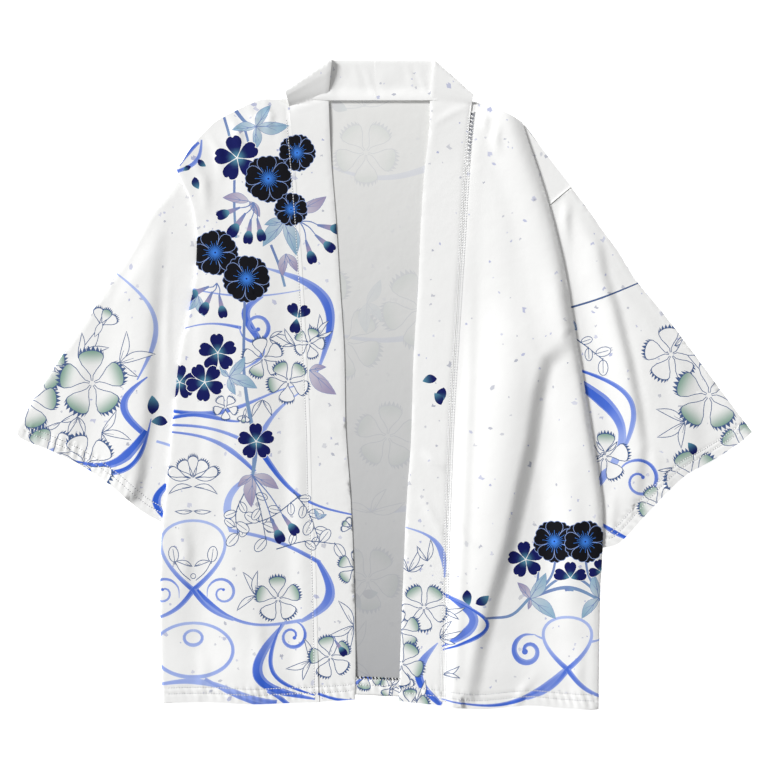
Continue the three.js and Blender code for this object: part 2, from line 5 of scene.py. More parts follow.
import bpy
import numpy as np
from mathutils.geometry import delaunay_2d_cdt
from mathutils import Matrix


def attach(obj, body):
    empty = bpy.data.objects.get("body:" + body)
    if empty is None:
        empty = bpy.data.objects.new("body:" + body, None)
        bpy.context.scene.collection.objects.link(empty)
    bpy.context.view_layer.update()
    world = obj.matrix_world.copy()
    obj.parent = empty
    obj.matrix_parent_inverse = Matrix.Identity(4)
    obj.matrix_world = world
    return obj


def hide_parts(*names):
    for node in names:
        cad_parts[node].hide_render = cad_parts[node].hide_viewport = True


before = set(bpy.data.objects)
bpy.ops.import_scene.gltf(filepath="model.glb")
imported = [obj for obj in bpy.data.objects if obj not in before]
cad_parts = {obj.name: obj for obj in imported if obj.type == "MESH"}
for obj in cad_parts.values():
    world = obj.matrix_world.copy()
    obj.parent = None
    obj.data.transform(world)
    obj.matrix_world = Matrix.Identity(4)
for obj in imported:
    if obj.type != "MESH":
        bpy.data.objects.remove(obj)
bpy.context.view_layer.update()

bl_info = {
    "name": "Kimono Jacket",
    "version": (1, 0, 0),
    "blender": (4, 5, 0),
    "location": "View3D > Sidebar > Jacket",
    "description": "Builds the cloth, print and sewing of a kimono jacket laid flat",
    "category": "Add Mesh",
}

MM = 0.001

# -------------------------------------------------- the solids' own sizes, in millimetres
SHIFT = (0.134, -0.009)  # from the outlines below to the frame's origin
CLOTH = 1.2  # wall of one layer in the solids
BAND = 2.0  # wall of the doubled band in the solids
GAP = 0.3  # between two layers
HEM = 20.0  # how far a hem is turned up
TURN = 1.2  # radius to the middle of the wall where a front rolls under
EDGE_TURN = 0.75  # the same at a sleeve's folds
BAND_TURN = 1.25  # the same where the band folds beside the neck
FRONT_LEVEL = CLOTH * 1.5 + GAP
BAND_LEVEL = CLOTH + GAP + BAND / 2
HEM_RISE = (-290, -337)  # heights between which the fronts rise over the back's turned hem
SEAM_GAP = 0.12  # half the groove along a sewn seam
MERGED = 1e-4  # points nearer than this are one
LEAST_AREA = 1e-7  # triangles smaller than this are left out
# (y, rise) of the right front's rolled outer edge.
EDGE_ROLL = [(-375, 0.8), (-250, 1.6), (-133, 3.2), (-40, 4.8), (60, 4.4), (200, 3.4), (301, 2.6)]
HEM_ROWS = (10.5, 17.4)  # stitch rows above a folded edge
NEAR_HEM = (1.2, 3.5, 6, 8.5, 9.7, 10.5, 11.3, 13, 15, 16.6, 17.4, 18.2, 20.5, 23)  # points near a hem
NECK_Y = 328.2  # the back's neck edge
BAND_TOP_Y = 373.0  # the band's free edge behind the neck
CENTRE_BACK_X = -10.4  # where the halves of the band meet

LEFT_EDGE = [
    (-255, -367), (-258, -248), (-256, -168), (-252, -133), (-243, -40), (-235, 33), (-225, 82),
    (-217, 130), (-216, 170), (-222, 208), (-238, 244),
]
LEFT_ARMHOLE = [
    (-236, 242), (-213, 206), (-207, 170), (-206, 124), (-210, 82), (-217, 33), (-226, -40), (-234, -150),
]
LEFT_SIDE = [(-249, -359), (-249, -280), (-243, -200), (-234, -150)]
LEFT_SHOULDER = [
    (-110.5, 320), (-122, 327), (-143, 327), (-170, 315), (-194, 302), (-212, 284), (-224, 269), (-238, 244),
]
LEFT_HEM = [(-75, -366), (-112, -367), (-152, -368), (-205, -366), (-255, -367)]
LEFT_BAND_SEAM = [
    (-75, -366), (-77, -267), (-79, -197), (-83, -131), (-85, -48), (-89, 34), (-92, 97), (-97, 179),
    (-100, 217), (-106, 289), (-109, 320),
]
LEFT_BAND_FREE = [
    (-33, -363), (-33, -300), (-35, -207), (-39, -124), (-44, -54), (-46, 40), (-51, 117), (-55, 184),
    (-61, 260), (-64, 331),
]
LEFT_BAND_FOLD = [(-115, 338), (-61, 375)]
LEFT_SLEEVE_TOP = [(-246, 222), (-266, 199), (-291, 154), (-336, 85), (-367, 39), (-397, -7), (-424, -52)]
LEFT_CUFF = [(-424, -52), (-419, -62), (-385, -76), (-350, -93), (-315, -116), (-281, -145), (-255, -160)]

RIGHT_EDGE = [
    (247, -375), (249, -244), (252, -179), (251, -133), (237, -41), (220, 62), (206, 143), (185, 223),
    (159, 301),
]
RIGHT_ARMHOLE = [
    (216, 226.4), (200, 212.5), (189, 202.8), (183, 193), (182.5, 165), (187, 143), (195, 62), (208, -41),
    (220, -133), (223, -182),
]
RIGHT_SIDE = [(241, -361), (242, -290), (236, -230), (223, -182)]
RIGHT_SHOULDER = [(102.5, 322), (118, 321), (133, 316), (159, 301)]
RIGHT_TIP = [(159, 301), (185, 267), (216, 227)]
RIGHT_HEM = [(66, -370), (109, -374), (167, -370), (205, -373), (247, -375)]
RIGHT_BAND_SEAM = [
    (66, -370), (68, -301), (71, -186), (76, -44), (82, 55), (89, 166), (94, 248), (99, 304), (101, 322),
]
RIGHT_BAND_FREE = [
    (17, -365), (20, -277), (26, -136), (31, -66), (34, 30), (39, 107), (43, 194), (47, 250), (52, 293),
    (53, 327),
]
RIGHT_BAND_FOLD = [(104, 333), (58, 374)]
RIGHT_SLEEVE_TOP = [
    (236, 200), (252, 177), (269, 154), (290, 120), (319, 85), (354, 39), (388, -7), (424, -55),
]
RIGHT_CUFF = [(424, -55), (409, -68), (376, -89), (346, -106), (306, -146), (271, -183), (252, -189)]

BACK_SHOULDERS = [
    (-238, 244), (-224, 269), (-212, 284), (-194, 302), (-170, 315), (-143, 325), (-122, NECK_Y),
    (-90, NECK_Y), (0, NECK_Y), (80, NECK_Y), (100, 326), (133, 316), (159, 301), (185, 267), (216, 227),
]
BACK_HEM = [(-249, -359), (-32, -358), (17, -360), (241, -361)]

# (y, depth) of the cloth that folds under a front's outer edge, and (y, lift) of that fold over the sleeve.
LEFT_TUCK = [(-367, 6), (-230, 7), (-165, 15), (-133, 17), (-40, 14), (82, 10), (159, 6), (244, 2.5)]
RIGHT_TUCK = [
    (-375, 6), (-260, 8), (-215, 18), (-182, 25), (-133, 27), (-41, 25), (62, 21), (143, 14), (200, 4.5),
    (301, 3),
]
LEFT_FOLD_LIFT = [(-222, 0), (-172, CLOTH + GAP)]
RIGHT_FOLD_LIFT = [(-250, 0), (-202, CLOTH + GAP)]

# -------------------------------------------------- how the visible cloth lies, in millimetres
SEAM_ROWS = {-1: (4.6,), 1: (1.6, 4.4)}  # stitch rows on the left and right front, beside the band's seam
BAND_ROW = 1.6  # the stitch row on the right band, beside the same seam
ROW_SPAN = (0.004, 0.985)  # the shares of a seam between which its rows run
HOLLOW, SEAM_HOLLOW, HOLLOW_WIDTH = 0.4, 0.26, 0.9  # how far rows of stitches draw cloth in
PUCKER_PITCH, PUCKER_SLANT, PUCKER_HEIGHT = 8.5, 0.28, 0.55
RIPPLE_LENGTHS = (150, 90, 60, 38, 26)
RIPPLE_FLATNESS = 900  # how many times longer than high a ripple is
CREASE_FADE = 14  # creases die out this near to a front's edges
OVER_FOLD = (3, 45)  # where a front comes down again, past the cloth folded under it
ALLOWANCE_RISE = 0.75  # how far the seam allowance lifts a front beside the band
ALLOWANCE_WAY = (4, 24)  # where that lift ends, away from the seam
ALLOWANCE_TOP = (290, 320)  # where it ends towards the shoulder
ROLL_UP, ROLL_DOWN = 7, (8, 48)  # where the right front's rolled edge rises and comes down again
FLAP_FOOT = 200  # the height from which the right front's pleat opens
CUFF_SHARE = 0.92  # how much nearer to the edge a cuff's rows are than a hem's
CUFF_WAY = (0.82, 0.57)  # the way along a cuff
BAND_WIDTH = 46.0
TURN_STEPS = 9  # the sections in which the band turns under at its fold

# -------------------------------------------------- creases: path, rises, width to both sides
LEFT_FRONT_CREASES = [
    ([(-150, 270), (-165, 60), (-170, -150), (-160, -350)], (3, 5, 5.5, 3.5), 70, 60),
    ([(-214, 90), (-196, -60), (-205, -230)], (0, 1.5, 0), 18, 18),
    ([(-108, 60), (-100, -120), (-92, -340)], (0, 1.6, 1), 16, 16),
    ([(-178, 308), (-168, 290), (-162, 262)], (0.6, 2.6, 0), 7, 9),
    ([(-204, 288), (-190, 268), (-186, 230)], (0.5, 2.4, 0), 7, 9),
    ([(-138, 326), (-130, 308), (-132, 284)], (0.6, 2.2, 0), 5, 7),
    ([(-156, 318), (-148, 302), (-144, 280)], (0.4, 1.8, 0), 5, 6),
    ([(-222, 262), (-206, 232), (-204, 190)], (0, 2.2, 0), 8, 11),
    ([(-236, -150), (-226, -190), (-232, -250)], (0, 1.6, 0), 10, 12),
    ([(-150, -240), (-142, -300), (-150, -362)], (0, 1.2, 0.6), 11, 13),
    ([(-212, -290), (-206, -330), (-214, -364)], (0, 0.9, 0.6), 9, 11),
]
RIGHT_FRONT_CREASES = [
    ([(135, 285), (150, 120), (125, -120), (110, -345)], (3, 5.5, 5, 3), 60, 60),
    (
        [
            (200, 50), (178, 32), (167, -10), (160, -60), (149, -110), (134, -179), (117, -237),
            (101, -306), (92, -352),
        ],
        (3, 8, 9.5, 9.5, 9.5, 9, 8.5, 7, 5), 21, 92,
    ),
    ([(192, 190), (206, 100), (220, 10)], (0, 3, 0), 22, 26),
    ([(205, -70), (214, -180), (210, -330)], (0, 4, 1), 26, 30),
    ([(112, 318), (117, 304), (116, 286)], (0, 2.2, 0), 5, 6),
    ([(132, 302), (129, 282), (133, 262)], (0, 2.4, 0), 6, 8),
    ([(103, 150), (98, 0), (92, -140), (84, -330)], (0, 1.6, 1.8, 0.8), 9, 12),
    ([(78, -150), (92, -176), (112, -190)], (1.2, 1.4, 0), 7, 8),
    ([(178, -330), (160, -352), (150, -372)], (0, 1.2, 1), 8, 9),
    ([(228, -290), (222, -335), (228, -372)], (0, 1.4, 0.8), 10, 12),
]
LEFT_SLEEVE_CREASES = [
    ([(-262, 190), (-269, 131), (-275, 39), (-279, -41), (-293, -122)], (0.5, 3, 4.4, 5, 6), 19, 60),
    ([(-330, 60), (-352, 10), (-366, -60)], (0, 1.5, 0.8), 22, 22),
    ([(-246, 150), (-250, 60), (-246, -30)], (0, 1.1, 0), 7, 8),
    ([(-284, -60), (-280, -100), (-290, -128)], (0, 1.3, 0.8), 8, 9),
]
RIGHT_SLEEVE_CREASES = [
    ([(262, 150), (300, 20), (318, -80)], (1, 4.5, 4), 70, 40),
    (
        [(240, 190), (247, 127), (261, 85), (276, 24), (287, -31), (293, -72), (288, -128)],
        (3, 5, 6.5, 7, 6, 4.5, 2), 13, 34,
    ),
    ([(330, 60), (346, 0), (352, -70)], (0, 2, 1), 22, 26),
    ([(212, 214), (208, 190), (210, 150)], (0.5, 3.2, 0), 9, 10),
    ([(300, -60), (318, -100), (330, -120)], (0, 1.4, 0.8), 9, 10),
    ([(264, -120), (262, -150), (258, -176)], (0, 1.6, 1), 8, 9),
]
RIGHT_BAND_CREASES = [
    ([(44, -76), (56, -88), (68, -96)], (0, 1.5, 0.8), 6, 8),
    ([(40, -120), (54, -150), (70, -176)], (0, 1.2, 1), 8, 9),
    ([(56, 298), (74, 310), (92, 318)], (0.4, 1.0, 0.6), 5, 6),
]
LEFT_BAND_CREASES = [
    ([(-104, 318), (-86, 322), (-68, 330)], (0.6, 1.0, 0.6), 5, 6),
    ([(-70, -40), (-60, -52), (-50, -60)], (0, 0.8, 0), 8, 9),
]

# -------------------------------------------------- what a user would change
def length_property(name, description, millimetres):
    default = millimetres * MM
    return bpy.props.FloatProperty(name=name, description=description, default=default, unit="LENGTH")


class JacketSizes(bpy.types.PropertyGroup):
    """Sizes of the visible cloth and its sewing."""

    cloth: length_property("Cloth", "Wall of one layer of visible cloth", 0.8)
    band: length_property("Band", "Wall of the doubled collar band", 1.6)
    mesh: length_property("Mesh", "Spacing of the points between the print's outlines", 4.2)
    stitch: length_property("Stitch pitch", "Length of one lockstitch", 3.05)
    thread: length_property("Thread", "Width of the sewing thread as it shows", 1.05)
    petals: bpy.props.FloatProperty(
        name="Petals", description="Drifting petals for each square metre", default=1500.0, min=0.0
    )


def linear(code):
    """The linear colour of an sRGB hex value."""
    parts = [int(code[i : i + 2], 16) / 255 for i in (1, 3, 5)]
    return tuple(c / 12.92 if c <= 0.04045 else ((c + 0.055) / 1.055) ** 2.4 for c in parts)


def colour_property(name, description, code):
    return bpy.props.FloatVectorProperty(
        name=name, description=description, default=linear(code), subtype="COLOR", min=0.0, max=1.0
    )


class PrintColours(bpy.types.PropertyGroup):
    """Inks of the print and the colour of the bare cloth."""

    white: colour_property("White", "Bare outer cloth", "#F9F9F8")
    inside: colour_property("Inside", "Bare wrong side of the cloth, at the neck", "#F0F0EE")
    # The hem's inside colour is the wrong side's grey plus painted shade: the inside is drawn darker towards
    # the hem.
    inside_low: colour_property("Inside, low", "Bare wrong side of the cloth, at the hem", "#B4B5B7")
    navy: colour_property("Navy", "Single cherry blossoms", "#05105C")
    ink: colour_property("Ink", "Double cherry blossoms", "#05050F")
    rim: colour_property("Rim", "Line round the dark petals", "#8FA6DC")
    stamen: colour_property("Stamen", "Rays in the dark blossoms", "#3F86EA")
    heart: colour_property("Heart", "Middle of the navy blossoms", "#5A97AE")
    stream: colour_property("Stream", "Deep end of the water lines", "#3262D4")
    stream_pale: colour_property("Stream, pale", "Pale end of the water lines", "#B2C3F3")
    slate: colour_property("Slate", "Outlines of pinks and leaves", "#4A628F")
    tint: colour_property("Tint", "Green blush in the pinks", "#7FA593")
    leaf: colour_property("Leaf", "Teal leaves", "#8FB4CC")
    mauve: colour_property("Mauve", "Mauve leaves", "#A398B8")
    branch: colour_property("Branch", "Stems and branches", "#7389BE")
    drift: colour_property("Drift", "Lavender drifting petals", "#B9BEDC")
    dust: colour_property("Dust", "Grey drifting petals", "#B8BBC8")
    # Painted shade: the grey of the dots between stitches and of the groove along the right band's seam.
    hole: colour_property("Hole", "Needle holes and the shade in a seam", "#8F9299")
    thread: colour_property("Thread", "Sewing thread", "#FEFEFE")
    overlock: colour_property("Overlock", "Dark overlock thread at the back hem", "#15161A")


# ------------------------------------------------------------------ curves and distances
def smooth(start, end, value):
    """A soft step, from 0 at start to 1 at end."""
    t = np.clip((value - start) / (end - start), 0, 1)
    return t * t * (3 - 2 * t)


def reach_along(line):
    """The length of a line up to each of its points."""
    return np.concatenate([[0], np.cumsum(np.linalg.norm(np.diff(line, axis=0), axis=1))])


def length_of(line):
    return np.linalg.norm(np.diff(np.asarray(line, float), axis=0), axis=1).sum()


def curve(points, t):
    """Places at shares t along a smooth curve through points."""
    p = np.asarray(points, float)
    reach = reach_along(p)
    order = np.arange(len(p))
    before, after = np.maximum(order - 1, 0), np.minimum(order + 1, len(p) - 1)
    slope = (p[after] - p[before]) / (reach[after] - reach[before])[:, None]
    s = np.clip(np.atleast_1d(t), 0, 1) * reach[-1]
    i = np.clip(np.searchsorted(reach, s, side="left") - 1, 0, len(p) - 2)
    span = reach[i + 1] - reach[i]
    h = (s - reach[i]) / span
    far, leave, arrive = h * h * (3 - 2 * h), h * (1 - h) ** 2 * span, -h * h * (1 - h) * span
    return (
        p[i] * (1 - far)[:, None]
        + p[i + 1] * far[:, None]
        + slope[i] * leave[:, None]
        + slope[i + 1] * arrive[:, None]
    )


def sampled(points, count):
    return curve(points, np.linspace(0, 1, count + 1))


def left_of(line):
    """Unit vectors to the left of a line at each of its points."""
    order = np.arange(len(line))
    along = line[np.minimum(order + 1, len(line) - 1)] - line[np.maximum(order - 1, 0)]
    along /= np.linalg.norm(along, axis=1)[:, None]
    return np.c_[-along[:, 1], along[:, 0]]


def offset(line, distance):
    return line + left_of(line) * distance


def longer(line, by):
    """The line with both ends drawn on by a distance."""
    start, end = line[0] - line[1], line[-1] - line[-2]
    return np.vstack(
        [line[0] + start / np.linalg.norm(start) * by, line, line[-1] + end / np.linalg.norm(end) * by]
    )


def beside(line, x, y):
    """For each place, its distance to the left of a line, the nearest point on it and the way left there."""
    a, d = line[:-1], np.diff(line, axis=0)
    px, py = x[:, None] - a[:, 0], y[:, None] - a[:, 1]
    t = np.clip((px * d[:, 0] + py * d[:, 1]) / (d**2).sum(1), 0, 1)
    dx, dy = px - t * d[:, 0], py - t * d[:, 1]
    away = np.hypot(dx, dy)
    row = np.arange(len(x))
    k = away.argmin(1)
    t = t[row, k]
    side = np.sign(d[k, 0] * dy[row, k] - d[k, 1] * dx[row, k])
    normals = left_of(line)
    way = normals[k] * (1 - t)[:, None] + normals[k + 1] * t[:, None]
    way /= np.linalg.norm(way, axis=1)[:, None]
    return side * away[row, k], a[k] + t[:, None] * d[k], way


def looked_up(rows, y):
    keys, values = zip(*rows)
    return np.interp(y, keys, values)


def crease_height(creases, x, y):
    """How far rounded creases lift the cloth at each place."""
    total = np.zeros(len(x))
    for path, rises, left, right in creases:
        line = np.asarray(path, float)
        distance, nearest, _ = beside(line, x, y)
        reach = reach_along(line)
        a, d = line[:-1], np.diff(line, axis=0)
        t = np.clip(((nearest[:, None] - a) * d).sum(2) / (d**2).sum(1), 0, 1)
        k = np.linalg.norm(nearest[:, None] - a - t[..., None] * d, axis=2).argmin(1)
        along = reach[k] + t[np.arange(len(x)), k] * np.linalg.norm(d[k], axis=1)
        share = np.minimum(np.abs(distance) / np.where(distance > 0, left, right), 1)
        total += np.interp(along, reach, rises) * np.cos(share * math.pi / 2) ** 2
    return total


def ripple(x, y, seed):
    """A slight unevenness, so that no panel is dead flat."""
    total = np.zeros(len(x))
    generator = np.random.default_rng(seed)
    for length in RIPPLE_LENGTHS:
        way, phase = generator.uniform(0, math.tau, 2)
        swing = np.sin((x * math.cos(way) + y * math.sin(way)) * math.tau / length + phase)
        total += swing * length / RIPPLE_FLATNESS
    return total


def dented(away, rows, depth=HOLLOW):
    """How far cloth sinks under rows of stitches; away is the way from the edge that they follow."""
    return -sum(depth * np.exp(-(((away - row) / HOLLOW_WIDTH) ** 2)) for row in rows)


def puckered(along, away, seed):
    """The slanting puckers that a stitched hem draws up."""
    phase = along * math.tau / PUCKER_PITCH + away * PUCKER_SLANT
    phase = phase + 1.7 * np.sin(along / 23 + seed)
    phase = phase + 0.8 * np.sin(along / 9 + 2 * seed)
    near = smooth(0.5, 6, away) * (1 - smooth(13, 26, away))
    return PUCKER_HEIGHT * near * (0.6 + 0.4 * np.sin(along / 37 + seed)) * np.sin(phase)


def dense(line, pitch=2.2):
    """A line with points a pitch apart."""
    return sampled(line, max(2, int(length_of(line) / pitch)))


def beside_row(line, side, row):
    """Points on both sides of a stitch row and on it."""
    return [dense(offset(line, side * (row + step)))[1:-1] for step in (-HOLLOW_WIDTH, 0, HOLLOW_WIDTH)]


def stretch_between(line, start, end):
    """The part of a line between two shares of its length."""
    return curve(line, np.linspace(start, end, 80))


def hem_lift(y):
    """How much of the turned-up hem lies under a height: 0 above it, 1 at the bottom."""
    return smooth(*HEM_RISE, y)


# -------------------------------------------------- surfaces: from flat cloth to where it lies
class Surface:
    """Cloth cut flat: its outline, where each place of it lies, and the lines along which it needs points."""

    rolls = 0  # on which side of its fold line the cloth rolls over, where it has one

    def wall(self, x, y):
        return np.full(len(x), self.cloth)


class Front(Surface):
    """A front: flat from the band to its outer edge, where it rolls under and runs back to its seam."""

    def __init__(self, side, seam, edge, hem, shoulder, tuck, lift, creases, cloth):
        self.side, self.tuck, self.lift, self.creases, self.cloth = side, tuck, lift, creases, cloth
        self.rolls = -side
        self.radius = TURN + CLOTH / 2 - cloth / 2
        self.seam = offset(sampled(seam, 90), -side * SEAM_GAP)
        self.seam_rows = SEAM_ROWS[side]
        self.edge = sampled(edge, 90)
        self.fold = offset(self.edge, side * (TURN + CLOTH / 2))
        self.fold_long = longer(self.fold, 12)
        self.hem, self.shoulder = sampled(hem, 40), sampled(shoulder, 24)

    def outline(self):
        outward = -left_of(self.fold) * self.side
        depth = looked_up(self.tuck, self.fold[:, 1])[:, None]
        under = self.fold + outward * (math.pi * self.radius + depth)
        return np.vstack([self.seam, self.shoulder[1:-2], under[::-1], self.hem[::-1][2:-1]])

    def place(self, x, y):
        left, near, way = beside(self.fold_long, x, y)
        beyond, out = -left * self.side, -way * self.side
        inside = np.maximum(-beyond, 0)
        from_seam = np.abs(beside(self.seam, x, y)[0])
        from_hem = beside(self.hem, x, y)[0] * self.side
        low = FRONT_LEVEL + looked_up(self.lift, near[:, 1]) + hem_lift(near[:, 1]) * (CLOTH / 2 + GAP * 2)
        depth = looked_up(self.tuck, near[:, 1])
        raised = 1 - smooth(depth + OVER_FOLD[0], depth + OVER_FOLD[1], inside)
        level = (FRONT_LEVEL + hem_lift(y) * CLOTH * 2) * (1 - raised) + (low + TURN * 2) * raised
        fade = smooth(0, CREASE_FADE, inside) * smooth(0, CREASE_FADE, from_seam)
        level += (crease_height(self.creases, x, y) + ripple(x, y, 3) * 0.6) * fade
        level += (dented(from_hem, HEM_ROWS) + puckered(x, from_hem, self.side)) * smooth(0, 4, inside)
        level += dented(from_seam, self.seam_rows, SEAM_HOLLOW)
        # The seam allowance lifts the cloth to the band's face, and the right edge rolls over broadly.
        level += ALLOWANCE_RISE * (1 - smooth(*ALLOWANCE_WAY, from_seam)) * (1 - smooth(*ALLOWANCE_TOP, y))
        if self.side > 0:
            roll = np.sin(np.minimum(inside / ROLL_UP, 1) * math.pi / 2) * (1 - smooth(*ROLL_DOWN, inside))
            level += looked_up(EDGE_ROLL, y) * roll * smooth(0, 20, from_seam)
        top = level + CLOTH / 2 - self.cloth / 2
        return rolled(x, y, top, beyond, near, out, low + TURN, self.radius)

    def sewn(self):
        lines = [dense(offset(self.hem, self.side * up)) for up in NEAR_HEM]
        for row in self.seam_rows:
            lines += beside_row(self.seam, -self.side, row)
        if self.side > 0:
            lines += [dense(offset(self.edge, way), 5) for way in (1, 3.2, 5.6)]
        return lines

    def stitched(self):
        rows = [offset(self.hem, self.side * up)[1:-1] for up in HEM_ROWS]
        for away in self.seam_rows:
            rows.append(stretch_between(offset(self.seam, -self.side * away), *ROW_SPAN))
        return rows


def rolled(x, y, top, beyond, near, out, centre, radius):
    """Places on a sheet that rolls under itself past a line; beyond is the way past it."""
    turn = np.clip(beyond / radius, 0, math.pi)
    back = np.maximum(beyond - math.pi * radius, 0)
    reach = radius * np.sin(turn) - back
    flat = beyond <= 0
    px = np.where(flat, x, near[:, 0] + out[:, 0] * reach)
    py = np.where(flat, y, near[:, 1] + out[:, 1] * reach)
    return np.c_[px, py, np.where(flat, top, centre + radius * np.cos(turn))]


class Flap(Surface):
    """The right front beyond its pleat, from under the fold out to the shoulder tip."""

    def __init__(self, front):
        self.front, self.cloth = front, front.cloth

    def outline(self):
        fold = self.front.fold[self.front.fold[:, 1] > FLAP_FOOT]
        depth = looked_up(self.front.tuck, fold[:, 1])[:, None]
        inner = fold + left_of(fold) * depth
        tip = sampled(RIGHT_TIP, 20)[::-1]
        return np.vstack([[SHOULDER_SEAM[0]], [SHOULDER_SEAM[-1]], tip[1:-1], inner[::-1]])

    def place(self, x, y):
        return np.c_[x, y, FRONT_LEVEL + CLOTH / 2 - self.cloth / 2 + shoulder_ridge(x, y)]

    def sewn(self):
        return beside_shoulder_seam(1)


SHOULDER_SEAM = [(184.6, 201.2), (200, 214.3), (216, 227.2)]


def shoulder_ridge(x, y):
    """The seam allowance under the drop shoulder, which lifts both sides of the seam."""
    away = beside(sampled(SHOULDER_SEAM, 12), x, y)[0]
    return 0.7 * np.exp(-((away / 1.2) ** 2))


def beside_shoulder_seam(side):
    return [dense(offset(sampled(SHOULDER_SEAM, 12), side * away), 1.8) for away in (1.4, 2.8)]


class SleeveLayer(Surface):
    """One layer of a sleeve: the upper one creased, the lower one flat, both rolled at their edges."""

    def __init__(self, side, armhole, top, cuff, creases, edge, cloth, upper):
        self.side, self.creases, self.edge, self.cloth, self.upper = side, creases, edge, cloth, upper
        self.radius = EDGE_TURN + CLOTH / 2 - cloth / 2
        self.armhole, self.cuff = sampled(armhole, 60), sampled(cuff, 60)
        inset = EDGE_TURN + CLOTH / 2
        self.over = offset(sampled([self.armhole[0], *top], 70), -side * inset)
        self.under = offset(sampled([self.armhole[-1], cuff[-1]], 8), side * inset)
        self.over_long, self.under_long = longer(self.over, 8), longer(self.under, 8)

    def outline(self):
        quarter = math.pi / 2 * self.radius
        over = offset(self.over, self.side * quarter)
        under = offset(self.under, -self.side * quarter)
        return np.vstack([self.armhole[2:-2], under, self.cuff[::-1][2:-2], over[::-1]])

    def lift(self, x, y, past_top, past_under):
        """How far creases, the cuff's sewing and the shoulder's seam lift the upper layer."""
        past_edge = self.side * (x - np.interp(y, self.edge[:, 1], self.edge[:, 0]))
        fade = smooth(2, 16, past_edge) * smooth(0, 22, -past_top) * smooth(0, 26, -past_under)
        lift = fade * (crease_height(self.creases, x, y) + ripple(x, y, 5) * 0.5)
        from_cuff = -beside(self.cuff, x, y)[0] * self.side
        sewn = dented(from_cuff, [row * CUFF_SHARE for row in HEM_ROWS])
        sewn += puckered(CUFF_WAY[0] * x + CUFF_WAY[1] * self.side * y, from_cuff, 3 + self.side)
        lift += sewn * smooth(0, 5, -past_top) * smooth(0, 5, -past_under)
        if self.side > 0:
            lift += shoulder_ridge(x, y)
        return lift

    def place(self, x, y):
        left, near_top, way = beside(self.over_long, x, y)
        past_top, out_top = left * self.side, way * self.side
        left, near_under, way = beside(self.under_long, x, y)
        past_under, out_under = -left * self.side, -way * self.side
        centre = CLOTH / 2 + EDGE_TURN
        rise = self.radius if self.upper else -self.radius
        height = centre + rise + (self.lift(x, y, past_top, past_under) if self.upper else 0)
        at_top = past_top > past_under
        past = np.where(at_top, past_top, past_under)
        near = np.where(at_top[:, None], near_top, near_under)
        out = np.where(at_top[:, None], out_top, out_under)
        turn = np.clip(past / self.radius, 0, math.pi / 2)
        flat = past <= 0
        reach = self.radius * np.sin(turn)
        px = np.where(flat, x, near[:, 0] + out[:, 0] * reach)
        py = np.where(flat, y, near[:, 1] + out[:, 1] * reach)
        return np.c_[px, py, np.where(flat, height, centre + rise * np.cos(turn))]

    def sewn(self):
        lines = [dense(offset(self.cuff, -self.side * up * CUFF_SHARE))[2:-2] for up in NEAR_HEM]
        return lines + (beside_shoulder_seam(-1) if self.side > 0 else [])

    def stitched(self):
        rows = [offset(self.cuff, -self.side * up * CUFF_SHARE) for up in HEM_ROWS]
        return [stretch_between(row, 0.04, 0.97) for row in rows]


class Back(Surface):
    """The back, on the surface, with its hem turned up over its inside."""

    rolls = -1

    def __init__(self, cloth):
        self.cloth, self.radius = cloth, CLOTH - cloth / 2
        self.hem = sampled(BACK_HEM, 60)
        self.fold = offset(self.hem, self.radius + cloth / 2)
        self.fold_long = longer(self.fold, 10)
        self.left = offset(sampled(LEFT_ARMHOLE, 60), GAP / 2)
        self.right = offset(sampled(RIGHT_ARMHOLE, 60), -GAP / 2)

    def outline(self):
        shoulders = sampled([self.left[0], *BACK_SHOULDERS[1:-1], self.right[0]], 120)[1:-1]
        turned = offset(self.fold, -(math.pi * self.radius + HEM))
        left_side, right_side = sampled(LEFT_SIDE, 24)[1:-1], sampled(RIGHT_SIDE[::-1], 24)[1:-1]
        return np.vstack([left_side, self.left[::-1], shoulders, self.right, right_side, turned[::-1]])

    def place(self, x, y):
        left, near, way = beside(self.fold_long, x, y)
        low = self.cloth / 2
        spots = rolled_up(x, y, low, -left, near, -way, low + self.radius, self.radius)
        turned = -left - math.pi * self.radius
        spots[:, 2] += dented(turned, HEM_ROWS, 0.3) + puckered(x, turned, 2) * 0.8
        return spots

    def sewn(self):
        return [dense(offset(self.fold, -(math.pi * self.radius + up))) for up in NEAR_HEM if up < HEM]

    def stitched(self):
        turned = math.pi * self.radius
        return [offset(self.fold, way)[2:-2] for up in HEM_ROWS for way in (-turned - up, up)]


def rolled_up(x, y, bottom, beyond, near, out, centre, radius):
    """As rolled, but the sheet turns up and back over itself."""
    placed = rolled(x, y, bottom, beyond, near, out, centre, radius)
    placed[:, 2] = np.where(beyond <= 0, bottom, 2 * centre - placed[:, 2])
    return placed


